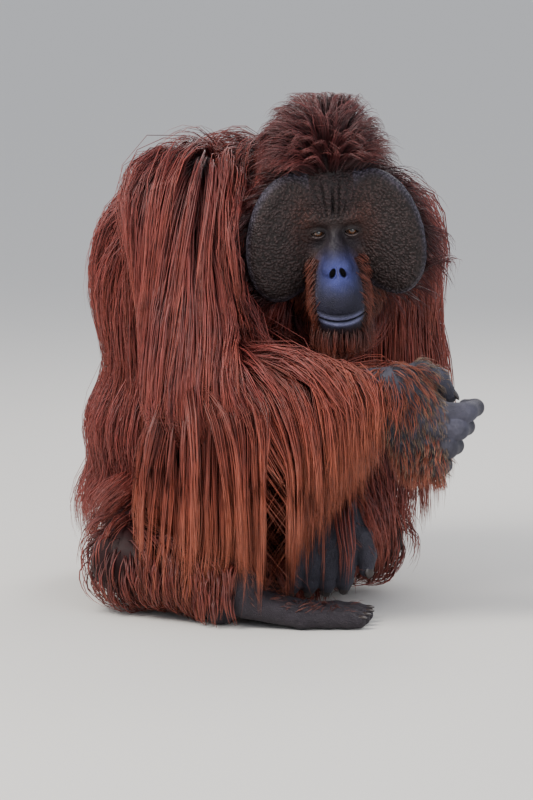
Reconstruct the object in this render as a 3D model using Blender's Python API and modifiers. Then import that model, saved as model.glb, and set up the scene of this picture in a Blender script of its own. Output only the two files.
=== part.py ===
"""A flanged male orangutan, life size, seated on the ground with its right forearm held across its chest.

Metres, +Z up. The origin is on the floor under the seat. Seen from the front, looking along +Y, the face
looks out at the viewer, the animal's right side is at -X and its right hand is at +X.
"""

import math
import random

import bmesh
import bpy
import numpy as np
from mathutils import Matrix, Vector
from mathutils.bvhtree import BVHTree

# Gap between touching nodes, and how far a lock stays from another node.
GAP = 0.0003
GROWN = GAP * 1.6
CLEAR = 0.0010
BODY_BLEND = 0.014
SKIN_BLEND = 0.0045
WELD = 0.000002
NUDGE = Vector((0.000020, 0.000015, 0.000025))
FLOOR_GAP = 0.0015
BARE_VOXEL = 0.0055
COATED_VOXEL = 0.009
# How far the solid core of the coat stands off the skin, at most half way to the tips of the hair.
BACK_COAT = 0.026
ARM_COAT = 0.018
LEG_COAT = 0.012
SEED = 13

# The trunk, turned so that its breast faces the viewer's right.
TRUNK_YAW = math.radians(30)
ACROSS = Vector((math.cos(TRUNK_YAW), math.sin(TRUNK_YAW), 0))
AHEAD = Vector((math.sin(TRUNK_YAW), -math.cos(TRUNK_YAW), 0))
UP = Vector((0, 0, 1))
PELVIS = Vector((-0.02, 0.02, 0.135))
CHEST = Vector((0.03, 0.0, 0.52))
SHOULDER_R = Vector((-0.053, -0.17, 0.735))
SHOULDER_L = Vector((0.295, 0.0, 0.655))
NECK_BASE = Vector((0.090, -0.050, 0.690))
NAPE = Vector((0.070, -0.070, 0.715))

# The limbs' joints.
ELBOW_R = Vector((-0.030, -0.325, 0.395))
WRIST_R = Vector((0.300, -0.410, 0.424))
ELBOW_L = Vector((0.345, 0.010, 0.305))
WRIST_L = Vector((0.222, -0.262, 0.188))
HIP_R = Vector((-0.105, -0.050, 0.120))
KNEE_R = Vector((-0.170, -0.325, 0.095))
ANKLE_R = Vector((0.040, -0.440, 0.062))
HIP_L = Vector((0.090, 0.050, 0.120))
KNEE_L = Vector((0.280, -0.140, 0.105))
ANKLE_L = Vector((0.085, -0.262, 0.062))

# The head's own axes: its left, its crown and its face, about a point between the eyes.
BROW = Vector((0.209, -0.300, 0.6945))
HEAD_PITCH = math.radians(12)
HEAD_ROLL = math.radians(4.5)
EYE_RADIUS = 0.0120
# Half the gap between the pupils, and the eyes' height and depth, in centimetres about the brow.
EYE_APART = 3.05
EYE_HEIGHT = -0.75
EYE_DEPTH = 0.90
SIDES = {"right": -1, "left": 1}


def turned_axes(pitch, roll):
    """The head's left, crown and face directions."""
    crown = Vector((0, -math.sin(pitch), math.cos(pitch)))
    left = Vector((1, 0, 0))
    face = left.cross(crown)
    return (
        left * math.cos(roll) + crown * math.sin(roll),
        crown * math.cos(roll) - left * math.sin(roll),
        face,
    )


HEAD_AXES = turned_axes(HEAD_PITCH, HEAD_ROLL)


def head_point(left, crown, face):
    """A point given in centimetres along the head's own axes."""
    u, v, w = HEAD_AXES
    return BROW + (u * left + v * crown + w * face) * 0.01


# Round forms: each is a function from points to signed distances, with a mesh that stands in for it.


WORLD_AXES = (Vector((1, 0, 0)), Vector((0, 1, 0)), Vector((0, 0, 1)))


def ball(centre, radii, axes=WORLD_AXES):
    """An ellipsoid with its radii along the given axes."""
    turn = np.array([list(a) for a in axes])
    middle = np.array(centre)
    size = np.array(radii)

    def distance(points):
        local = (points - middle) @ turn.T
        near = np.linalg.norm(local / size, axis=1)
        slope = np.linalg.norm(local / size**2, axis=1)
        return near * (near - 1) / np.maximum(slope, 1e-9)

    return {"distance": distance, "ends": [(Vector(centre), Vector(radii))], "axes": axes}


def head_ball(centre, radii):
    """An ellipsoid along the head's axes, with its sizes in centimetres."""
    return ball(head_point(*centre), [r * 0.01 for r in radii], HEAD_AXES)


def limb(start, end, start_radius, end_radius):
    """A round-ended cone."""
    a, b = np.array(start), np.array(end)
    along = b - a

    def distance(points):
        t = np.clip((points - a) @ along / (along @ along), 0, 1)
        nearest = a + t[:, None] * along
        return np.linalg.norm(points - nearest, axis=1) - (start_radius + (end_radius - start_radius) * t)

    steps = max(2, int((Vector(end) - Vector(start)).length / (0.6 * min(start_radius, end_radius))))
    spots = []
    for i in range(steps + 1):
        t = i / steps
        r = start_radius + (end_radius - start_radius) * t
        spots.append((Vector(start).lerp(Vector(end), t), Vector((r, r, r))))
    return {"distance": distance, "ends": spots, "axes": WORLD_AXES}


def head_limb(start, end, start_radius, end_radius):
    return limb(head_point(*start), head_point(*end), start_radius * 0.01, end_radius * 0.01)


def field_of(forms, coat):
    """The smooth union of the forms, grown by the coat's core; bare skin keeps tighter folds."""
    blend = BODY_BLEND if coat else SKIN_BLEND

    def field(points):
        each = np.stack([form["distance"](points) for form in forms])
        least = each.min(axis=0)
        return least - blend * np.log(np.exp(-(each - least) / blend).sum(axis=0)) - coat

    return field


def slope_of(field, points, step=0.0008):
    """Unit directions in which the field grows, and its steepness."""
    parts = []
    for axis in range(3):
        shift = np.zeros(3)
        shift[axis] = step
        parts.append((field(points + shift) - field(points - shift)) / (2 * step))
    slope = np.stack(parts, axis=1)
    size = np.maximum(np.linalg.norm(slope, axis=1), 1e-6)
    return slope / size[:, None], size


# Hands and feet, as chains of round-ended cones.


def digit(root, turns, lengths, radii):
    """A finger or toe: one cone for each bone."""
    forms = []
    start = Vector(root)
    for i, (turn, length) in enumerate(zip(turns, lengths)):
        end = start + Vector(turn).normalized() * length
        forms.append(limb(start, end, radii[i], radii[i + 1]))
        start = end
    return forms


FINGER_BONES = (0.058, 0.042, 0.024)
FINGER_RADII = (0.0175, 0.0165, 0.0145, 0.0120)
TOE_BONES = (0.050, 0.036, 0.022)
TOE_RADII = (0.0160, 0.0150, 0.0135, 0.0115)
KNUCKLE_SPREAD = 0.031


def palm(wrist, first, last, turns, bones, radii, back):
    """The four long bones of a palm or sole and their digits, from the first knuckle to the last."""
    forms = []
    for i in range(4):
        share = i / 3
        knuckle = Vector(first).lerp(Vector(last), share)
        # The middle digits are the longest.
        reach = 1.0 - 0.10 * abs(share - 0.42)
        root = Vector(wrist).lerp(knuckle, 0.12) + (Vector(last) - Vector(first)) * (share - 0.5) * 0.45
        forms.append(limb(root, knuckle, back, radii[0] * 1.06))
        spread = (Vector(last) - Vector(first)).normalized() * (share - 0.5) * 0.12
        aims = [Vector(turn).normalized() + spread for turn in turns]
        forms += digit(knuckle, aims, [b * reach for b in bones], radii)
    return forms


def right_hand():
    first = Vector((0.397, -0.412, 0.378))
    last = Vector((0.345, -0.412, 0.285))
    turns = ((0.80, -0.55, 0.04), (0.35, 0.94, 0.0), (-0.75, 0.65, 0.0))
    forms = palm(WRIST_R, first, last, turns, FINGER_BONES, FINGER_RADII, 0.023)
    thumb = ((0.325, -0.398, 0.437), (0.362, -0.383, 0.447), (0.394, -0.373, 0.434), (0.414, -0.372, 0.402))
    sizes = (0.0190, 0.0185, 0.0180, 0.0135)
    forms += [limb(thumb[i], thumb[i + 1], sizes[i], sizes[i + 1]) for i in range(3)]
    return forms


def left_hand():
    first = Vector((0.232, -0.305, 0.112))
    last = Vector((0.146, -0.298, 0.104))
    turns = ((-0.10, -0.12, -0.95), (-0.10, 0.22, -0.90), (-0.10, 0.45, -0.60))
    bones = (0.036, 0.024, 0.018)
    forms = palm(WRIST_L, first, last, turns, bones, FINGER_RADII, 0.023)
    thumb = ((0.236, -0.282, 0.160), (0.262, -0.298, 0.132), (0.270, -0.305, 0.100), (0.268, -0.308, 0.074))
    sizes = (0.0185, 0.0180, 0.0165, 0.0130)
    forms += [limb(thumb[i], thumb[i + 1], sizes[i], sizes[i + 1]) for i in range(3)]
    return forms


def foot(ankle, heel, first, last, hallux, turns):
    forms = [limb(ankle, heel, 0.036, 0.030)]
    forms += palm(ankle - Vector((0, 0, 0.022)), first, last, turns, TOE_BONES, TOE_RADII, 0.022)
    sizes = (0.0200, 0.0185, 0.0150)
    forms += [limb(hallux[i], hallux[i + 1], sizes[i], sizes[i + 1]) for i in range(2)]
    return forms


def right_foot():
    return foot(
        ANKLE_R,
        Vector((0.005, -0.436, 0.028)),
        Vector((0.165, -0.404, 0.019)),
        Vector((0.150, -0.488, 0.019)),
        (Vector((0.080, -0.412, 0.030)), Vector((0.116, -0.384, 0.021)), Vector((0.146, -0.372, 0.015))),
        ((1, 0.10, -0.02), (0.95, 0.05, -0.05), (0.9, 0.02, -0.12)),
    )


def left_foot():
    return foot(
        ANKLE_L,
        Vector((0.118, -0.245, 0.028)),
        Vector((-0.010, -0.305, 0.019)),
        Vector((-0.005, -0.220, 0.019)),
        (Vector((0.055, -0.290, 0.030)), Vector((0.025, -0.326, 0.022)), Vector((0.000, -0.338, 0.016))),
        ((-1, 0.03, -0.02), (-0.95, 0.03, -0.05), (-0.9, 0.03, -0.12)),
    )


def head_forms():
    """Skull, crown pad, brow, muzzle and jaw, in centimetres about the brow."""
    return [
        head_ball((0, 4.0, -9.0), (8.2, 8.2, 9.5)),
        head_ball((-1.2, 12.0, -8.5), (6.8, 7.0, 7.6)),
        head_ball((0, -1.5, -4.8), (6.8, 9.5, 5.0)),
        head_ball((0, 5.6, -3.7), (9.4, 5.2, 4.0)),
        head_limb((-3.6, 1.7, -0.9), (3.6, 1.7, -0.9), 1.45, 1.45),
        head_limb((0, -7.3, -0.6), (0, -12.3, 3.2), 4.9, 5.3),
        head_ball((0, -16.6, 1.8), (4.8, 3.8, 5.6)),
        head_ball((0, -13.0, -6.5), (8.0, 7.5, 6.5)),
        head_limb((0, -0.4, -1.0), (0, -5.2, 3.5), 1.3, 2.1),
        head_ball((-1.35, -6.1, 4.9), (1.25, 1.15, 1.2)),
        head_ball((1.35, -6.1, 4.9), (1.25, 1.15, 1.2)),
        head_ball((-0.8, 7.0, -10.5), (12.0, 13.0, 6.0)),
    ]


FLANGE_MIDDLE = (8.9, -1.7, -1.7)
FLANGE_RADII = (6.9, 12.0, 2.8)
FLANGE_YAW = -14
FLANGE_LEAN = -12
RIM_RADIUS = 0.0140
RIM_REACH = (0.054, 0.100, 0.004)
RIM_TURNS = (-70, 60)
RIM_POINTS = 9


def flange_forms(side):
    """A cheek pad: a thick disc with a rolled rim, its outer edge brought forward."""
    sign = SIDES[side]
    u, v, w = HEAD_AXES
    yaw = math.radians(FLANGE_YAW) * sign
    lean = math.radians(FLANGE_LEAN) * sign
    out = u * math.cos(yaw) - w * math.sin(yaw)
    front = w * math.cos(yaw) + u * math.sin(yaw)
    tall = v * math.cos(lean) + out * math.sin(lean)
    wide = out * math.cos(lean) - v * math.sin(lean)
    a, b, c = FLANGE_MIDDLE
    middle = head_point(a * sign, b, c)
    disc = ball(middle, [r * 0.01 for r in FLANGE_RADII], (wide, tall, front))
    rim = []
    across, up, proud = RIM_REACH
    first, last = RIM_TURNS
    for i in range(RIM_POINTS):
        turn = math.radians(first + (last - first) * i / (RIM_POINTS - 1))
        spot = wide * (sign * across * math.cos(turn)) + tall * (up * math.sin(turn)) + front * proud
        rim.append(middle + spot)
    return [disc] + [limb(rim[i], rim[i + 1], RIM_RADIUS, RIM_RADIUS) for i in range(RIM_POINTS - 1)]


def eye_centre(side):
    return head_point(SIDES[side] * EYE_APART, EYE_HEIGHT, -EYE_DEPTH)


def ear_axes(side):
    u, v, w = HEAD_AXES
    out = (u * SIDES[side] + w * 0.35).normalized()
    tall = (v - out * v.dot(out)).normalized()
    return out, tall, out.cross(tall)


def ear_centre(side):
    return head_point(SIDES[side] * 9.6, -1.5, -6.6)


def trunk_ball(centre, radii):
    return ball(centre, radii, (ACROSS, AHEAD, UP))


def neck_forms():
    """The thick nape, level with the crown, and the pouch under the jaw."""
    return [
        limb(NECK_BASE, head_point(-0.5, 0, -12), 0.118, 0.078),
        ball(NAPE, (0.125, 0.120, 0.110)),
        limb(head_point(0, -15.5, -8.5), NECK_BASE + AHEAD * 0.07 - UP * 0.09, 0.066, 0.085),
    ]


def upper_arm_forms(shoulder, elbow):
    return [limb(shoulder, elbow, 0.062, 0.048), ball(shoulder, (0.078, 0.078, 0.084))]


def forearm_forms(elbow, wrist):
    return [limb(elbow, wrist, 0.048, 0.033), limb(elbow, elbow.lerp(wrist, 0.45), 0.050, 0.047)]


def hip_forms():
    return [
        trunk_ball(PELVIS, (0.205, 0.165, 0.150)),
        trunk_ball(PELVIS + UP * 0.02 - AHEAD * 0.03, (0.190, 0.150, 0.140)),
    ]


def torso_forms():
    """Breast, belly, shoulder blades and the muscle between the shoulders."""
    return [
        trunk_ball(CHEST, (0.200, 0.165, 0.230)),
        trunk_ball(PELVIS + UP * 0.17 + AHEAD * 0.03, (0.200, 0.180, 0.165)),
        trunk_ball(Vector((-0.030, -0.010, 0.590)), (0.160, 0.150, 0.180)),
        trunk_ball((SHOULDER_R + SHOULDER_L) * 0.5 + UP * 0.010 - AHEAD * 0.02, (0.185, 0.105, 0.090)),
    ]


# Each node's forms, its coat's core and its share of the triangles: each is cut back from those before.
BODY = {
    "neck": (neck_forms(), ARM_COAT, 170),
    "upper_arm_right": (upper_arm_forms(SHOULDER_R, ELBOW_R), ARM_COAT, 170),
    "upper_arm_left": (upper_arm_forms(SHOULDER_L, ELBOW_L), ARM_COAT, 160),
    "forearm_right": (forearm_forms(ELBOW_R, WRIST_R), LEG_COAT, 150),
    "forearm_left": (forearm_forms(ELBOW_L, WRIST_L), LEG_COAT, 130),
    "shin_right": ([limb(KNEE_R, ANKLE_R, 0.055, 0.036)], LEG_COAT, 110),
    "shin_left": ([limb(KNEE_L, ANKLE_L, 0.055, 0.036)], LEG_COAT, 110),
    "thigh_right": ([limb(HIP_R, KNEE_R, 0.090, 0.060)], LEG_COAT, 120),
    "thigh_left": ([limb(HIP_L, KNEE_L, 0.090, 0.060)], LEG_COAT, 120),
    "hips": (hip_forms(), ARM_COAT, 150),
    "torso": (torso_forms(), BACK_COAT, 260),
    "head": (head_forms(), 0.0, 800),
    "cheek_flange_right": (flange_forms("right"), 0.0, 260),
    "cheek_flange_left": (flange_forms("left"), 0.0, 260),
    "hand_right": (right_hand(), 0.0, 660),
    "hand_left": (left_hand(), 0.0, 360),
    "foot_right": (right_foot(), 0.0, 340),
    "foot_left": (left_foot(), 0.0, 300),
}


# Meshes.


def mesh_object(name, work, collection):
    mesh = bpy.data.meshes.new(name)
    work.to_mesh(mesh)
    work.free()
    made = bpy.data.objects.new(name, mesh)
    collection.objects.link(made)
    return made


def evaluated_copy(made):
    graph = bpy.context.evaluated_depsgraph_get()
    return bpy.data.meshes.new_from_object(made.evaluated_get(graph))


def apply_modifiers(made):
    fresh = evaluated_copy(made)
    old = made.data
    made.modifiers.clear()
    made.data = fresh
    bpy.data.meshes.remove(old)


def stand_in(name, forms, coat, collection):
    """Balls over the forms, as one object, whose voxel remesh the field then shapes."""
    round_one = bmesh.new()
    bmesh.ops.create_icosphere(round_one, subdivisions=2, radius=1.03)
    pattern = [v.co.copy() for v in round_one.verts]
    pattern_faces = [[v.index for v in f.verts] for f in round_one.faces]
    round_one.free()
    spots, faces = [], []
    for form in forms:
        u, v, w = form["axes"]
        for centre, radii in form["ends"]:
            grown = radii + Vector((coat, coat, coat))
            turn = Matrix((u * grown.x, v * grown.y, w * grown.z)).transposed()
            faces += [[i + len(spots) for i in face] for face in pattern_faces]
            spots += [centre + turn @ point for point in pattern]
    mesh = bpy.data.meshes.new(name)
    mesh.from_pydata(spots, [], faces)
    made = bpy.data.objects.new(name, mesh)
    collection.objects.link(made)
    return made


def shape_to_field(mesh, field, rounds=5):
    """Moves each point along the field's slope on to its surface."""
    points = np.empty(len(mesh.vertices) * 3)
    mesh.vertices.foreach_get("co", points)
    points = points.reshape(-1, 3)
    for _ in range(rounds):
        away, steep = slope_of(field, points)
        move = np.clip(field(points) / np.maximum(steep, 0.4), -0.01, 0.01)
        points = points - away * move[:, None]
    mesh.vertices.foreach_set("co", points.ravel())
    mesh.update()


def is_closed(mesh):
    work = bmesh.new()
    work.from_mesh(mesh)
    closed = all(len(edge.link_faces) == 2 for edge in work.edges)
    work.free()
    return closed


def thinned(made, triangles):
    """Fewer triangles, spent where the form turns most, and still closed."""
    count = sum(len(p.vertices) - 2 for p in made.data.polygons)
    for share in (1.0, 1.04, 1.08, 1.15, 1.3):
        slim = made.modifiers.new("thin", "DECIMATE")
        slim.ratio = min(1.0, share * triangles / count)
        slim.use_collapse_triangulate = True
        if is_closed(evaluated_copy(made)):
            break
        made.modifiers.clear()
    apply_modifiers(made)


def largest_body(made):
    """Keeps the largest closed surface, and makes it triangles."""
    work = bmesh.new()
    work.from_mesh(made.data)
    bmesh.ops.triangulate(work, faces=work.faces[:])
    groups = []
    seen = set()
    for face in work.faces:
        if face in seen:
            continue
        stack, group = [face], []
        seen.add(face)
        while stack:
            here = stack.pop()
            group.append(here)
            for edge in here.edges:
                for other in edge.link_faces:
                    if other not in seen:
                        seen.add(other)
                        stack.append(other)
        groups.append(group)
    keep = max(groups, key=lambda g: sum(f.calc_area() for f in g))
    drop = [f for g in groups if g is not keep for f in g]
    if drop:
        bmesh.ops.delete(work, geom=drop, context="FACES")
    work.to_mesh(made.data)
    work.free()


def boolean(made, other, operation, solver="MANIFOLD"):
    cut = made.modifiers.new("cut", "BOOLEAN")
    cut.operation = operation
    cut.solver = solver
    cut.object = other
    apply_modifiers(made)


def is_clean(mesh):
    """Whether a mesh stays closed when points that all but meet are welded."""
    work = bmesh.new()
    work.from_mesh(mesh)
    bmesh.ops.remove_doubles(work, verts=work.verts[:], dist=WELD)
    bmesh.ops.dissolve_degenerate(work, edges=work.edges[:], dist=WELD)
    clean = all(len(edge.link_faces) == 2 for edge in work.edges)
    work.free()
    return clean


def fuse(made, pieces, collection):
    """One Boolean union of a node and a collection of closed pieces, nudged until none only just touches."""
    group = bpy.data.collections.new("pieces")
    bpy.context.scene.collection.children.link(group)
    for piece in pieces:
        collection.objects.unlink(piece)
        group.objects.link(piece)
    join = made.modifiers.new("join", "BOOLEAN")
    join.operation = "UNION"
    join.operand_type = "COLLECTION"
    join.solver = "MANIFOLD"
    join.collection = group
    for _ in range(5):
        if is_clean(evaluated_copy(made)):
            break
        for i, piece in enumerate(group.objects):
            piece.data.transform(Matrix.Translation(NUDGE * (i % 5 - 2)))
    apply_modifiers(made)
    for piece in list(group.objects):
        remove(piece)
    bpy.data.collections.remove(group)
    largest_body(made)


def remove(made):
    mesh = made.data
    bpy.data.objects.remove(made)
    bpy.data.meshes.remove(mesh)


def grown_copy(made, by, collection):
    """A copy whose faces stand out by the given distance."""
    copy = made.copy()
    copy.data = made.data.copy()
    collection.objects.link(copy)
    work = bmesh.new()
    work.from_mesh(copy.data)
    work.normal_update()
    moves = [(v, v.normal * by * min(2.0, v.calc_shell_factor())) for v in work.verts]
    for vert, move in moves:
        vert.co += move
    work.to_mesh(copy.data)
    work.free()
    return copy


def sphere_piece(centre, radii, axes, collection, segments=20, rings=12):
    work = bmesh.new()
    u, v, w = axes
    turn = Matrix((u * radii[0], v * radii[1], w * radii[2])).transposed().to_4x4()
    bmesh.ops.create_uvsphere(
        work, u_segments=segments, v_segments=rings, radius=1, matrix=Matrix.Translation(centre) @ turn
    )
    if turn.determinant() < 0:
        bmesh.ops.reverse_faces(work, faces=work.faces[:])
    return mesh_object("piece", work, collection)


def floor_block(collection):
    """What lies under the floor, to cut flats for the animal to sit on."""
    work = bmesh.new()
    bmesh.ops.create_cube(work, size=2, matrix=Matrix.Translation((0, 0, -1)))
    return mesh_object("under_floor", work, collection)


# Locks of hair: flat, tapered, bent along the lie of the coat.

LONG_LOCK = 0.31
LOCK_SHARES = {3: (0.62, 1.0, 0.80), 4: (0.60, 1.0, 0.95, 0.62)}
LOCK_PLUMP = 0.36
LOCK_FLOOR = 0.006
ROOT_DEPTH = 0.012
ROOT_BACK = 0.010
RISE = 0.55
LATTICE_LOW = (-0.42, -0.68, -0.03)
LATTICE_HIGH = (0.66, 0.42, 1.02)
LATTICE_PITCH = 0.010
# How a lock is raised and shortened, try after try, until it is clear of the other nodes.
TRIES = ((0, 1), (0.010, 1), (0.020, 0.95), (0.010, 0.75), (0.0, 0.55), (0.01, 0.4))


class Lattice:
    """The whole body's distance field, sampled once on a grid and read between its points."""

    def __init__(self, fields, low, high, pitch):
        self.low = np.array(low)
        self.pitch = pitch
        axes = [np.arange(low[i], high[i] + pitch, pitch) for i in range(3)]
        self.size = np.array([len(axis) for axis in axes])
        self.values = np.empty(self.size)
        flat = np.stack(np.meshgrid(axes[1], axes[2], indexing="ij"), axis=-1).reshape(-1, 2)
        for i, x in enumerate(axes[0]):
            sheet = np.concatenate((np.full((len(flat), 1), x), flat), axis=1)
            nearest = np.stack([field(sheet) for field in fields.values()]).min(axis=0)
            self.values[i] = nearest.reshape(self.size[1], self.size[2])

    def read(self, point):
        """The distance at a point and the direction away from the body."""
        place = (np.array(point) - self.low) / self.pitch
        place = np.clip(place, 0, self.size - 1.001)
        cell = place.astype(int)
        x, y, z = place - cell
        i, j, k = cell
        box = self.values[i:i + 2, j:j + 2, k:k + 2]
        along_x = box[1] - box[0]
        face = box[0] * (1 - x) + box[1] * x
        line = face[0] * (1 - y) + face[1] * y
        slope = Vector((
            (along_x * np.outer((1 - y, y), (1 - z, z))).sum(),
            (face[1] - face[0]) @ np.array((1 - z, z)),
            line[1] - line[0],
        ))
        return float(line[0] * (1 - z) + line[1] * z), slope.normalized()


class Coat:
    """Traces locks outside the body and keeps them clear of other nodes."""

    def __init__(self, fields, solids):
        self.fields = fields
        self.body = Lattice(fields, LATTICE_LOW, LATTICE_HIGH, LATTICE_PITCH)
        self.trees = {name: [self.tree_of(made)] for name, made in solids.items()}
        self.draw = random.Random(SEED)

    @staticmethod
    def tree_of(made):
        return BVHTree.FromPolygons(
            [v.co[:] for v in made.data.vertices], [p.vertices[:] for p in made.data.polygons]
        )

    def surface(self, node, inside, toward):
        """Where a straight line from inside a node leaves its core."""
        toward = Vector(toward).normalized()
        field = self.fields[node]
        start = np.array(inside) + np.array(toward) * 0.5
        for _ in range(40):
            gap = float(field(start[None, :])[0])
            start = start - np.array(toward) * gap * 0.8
            if abs(gap) < 0.0005:
                break
        return Vector(start)

    def path(self, root, comb, length, standing, sag, loose):
        """Points from a root along the lie: combed, then falling, and never into the body or far from it."""
        point = Vector(root)
        _, normal = self.body.read(point)
        comb = Vector(comb).normalized()
        heading = ((comb - normal * comb.dot(normal)).normalized() + normal * RISE).normalized()
        points = [point - normal * ROOT_DEPTH - heading * ROOT_BACK]
        normals = [normal]
        count = 4 if length > LONG_LOCK else 3
        step = length / count
        for i in range(count):
            heading = (heading + Vector((0, 0, -1)) * sag * (0.4 + 0.6 * i)).normalized()
            point = point + heading * step
            for _ in range(3):
                gap, away = self.body.read(point)
                if gap < standing:
                    point = point + away * (standing - gap)
                elif gap > standing + loose:
                    point = point - away * (gap - standing - loose)
            point.z = max(point.z, LOCK_FLOOR)
            heading = (point - points[-1]).normalized()
            points.append(point.copy())
            normals.append(self.body.read(point)[1])
        return points, normals

    @staticmethod
    def solid(points, normals, width, collection):
        """A flat lock with three sides and a ridge outside, widest past its root and running to a point."""
        work = bmesh.new()
        rings = []
        shares = LOCK_SHARES[len(points) - 1]
        for i in range(len(points) - 1):
            ahead = (points[i + 1] - points[max(i - 1, 0)]).normalized()
            out = (normals[i] - ahead * normals[i].dot(ahead)).normalized()
            side = ahead.cross(out)
            half = width * 0.5 * shares[i]
            ring = [points[i] + side * half, points[i] + out * half * LOCK_PLUMP * 2, points[i] - side * half]
            for spot in ring:
                spot.z = max(spot.z, FLOOR_GAP)
            rings.append([work.verts.new(spot) for spot in ring])
        tip = work.verts.new(points[-1])
        work.faces.new(rings[0])
        for one, two in zip(rings, rings[1:]):
            for j in range(3):
                k = (j + 1) % 3
                work.faces.new((one[j], two[j], two[k], one[k]))
        for j in range(3):
            work.faces.new((rings[-1][j], tip, rings[-1][(j + 1) % 3]))
        bmesh.ops.recalc_face_normals(work, faces=work.faces[:])
        bmesh.ops.triangulate(work, faces=work.faces[:])
        return mesh_object("lock", work, collection)

    def crosses(self, node, lock, collection):
        grown = grown_copy(lock, CLEAR, collection)
        tree = self.tree_of(grown)
        remove(grown)
        for name, trees in self.trees.items():
            if name == node:
                continue
            if any(tree.overlap(other) for other in trees):
                return True
        return False

    def lock(self, node, root, comb, length, width, standing, sag, loose, collection):
        """One lock, raised or shortened until it is clear of the other nodes, or None."""
        length *= self.draw.uniform(0.88, 1.08)
        width *= self.draw.uniform(0.9, 1.15)
        for lift, cut in TRIES:
            points, normals = self.path(root, comb, length * cut, standing + lift, sag, loose)
            made = self.solid(points, normals, width, collection)
            if not self.crosses(node, made, collection):
                self.trees[node].append(self.tree_of(made))
                return made
            remove(made)
        return None


def limb_roots(coat, node, start, end, shares, turns, zero):
    """Roots round a limb, at shares of its length and at turns in degrees about its axis."""
    axis = (end - start).normalized()
    base = (zero - axis * zero.dot(axis)).normalized()
    for row, share in enumerate(shares):
        centre = start.lerp(end, share)
        for turn in turns:
            spin = Matrix.Rotation(math.radians(turn + 9 * (row % 2)), 3, axis)
            yield coat.surface(node, centre, spin @ base)


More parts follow.
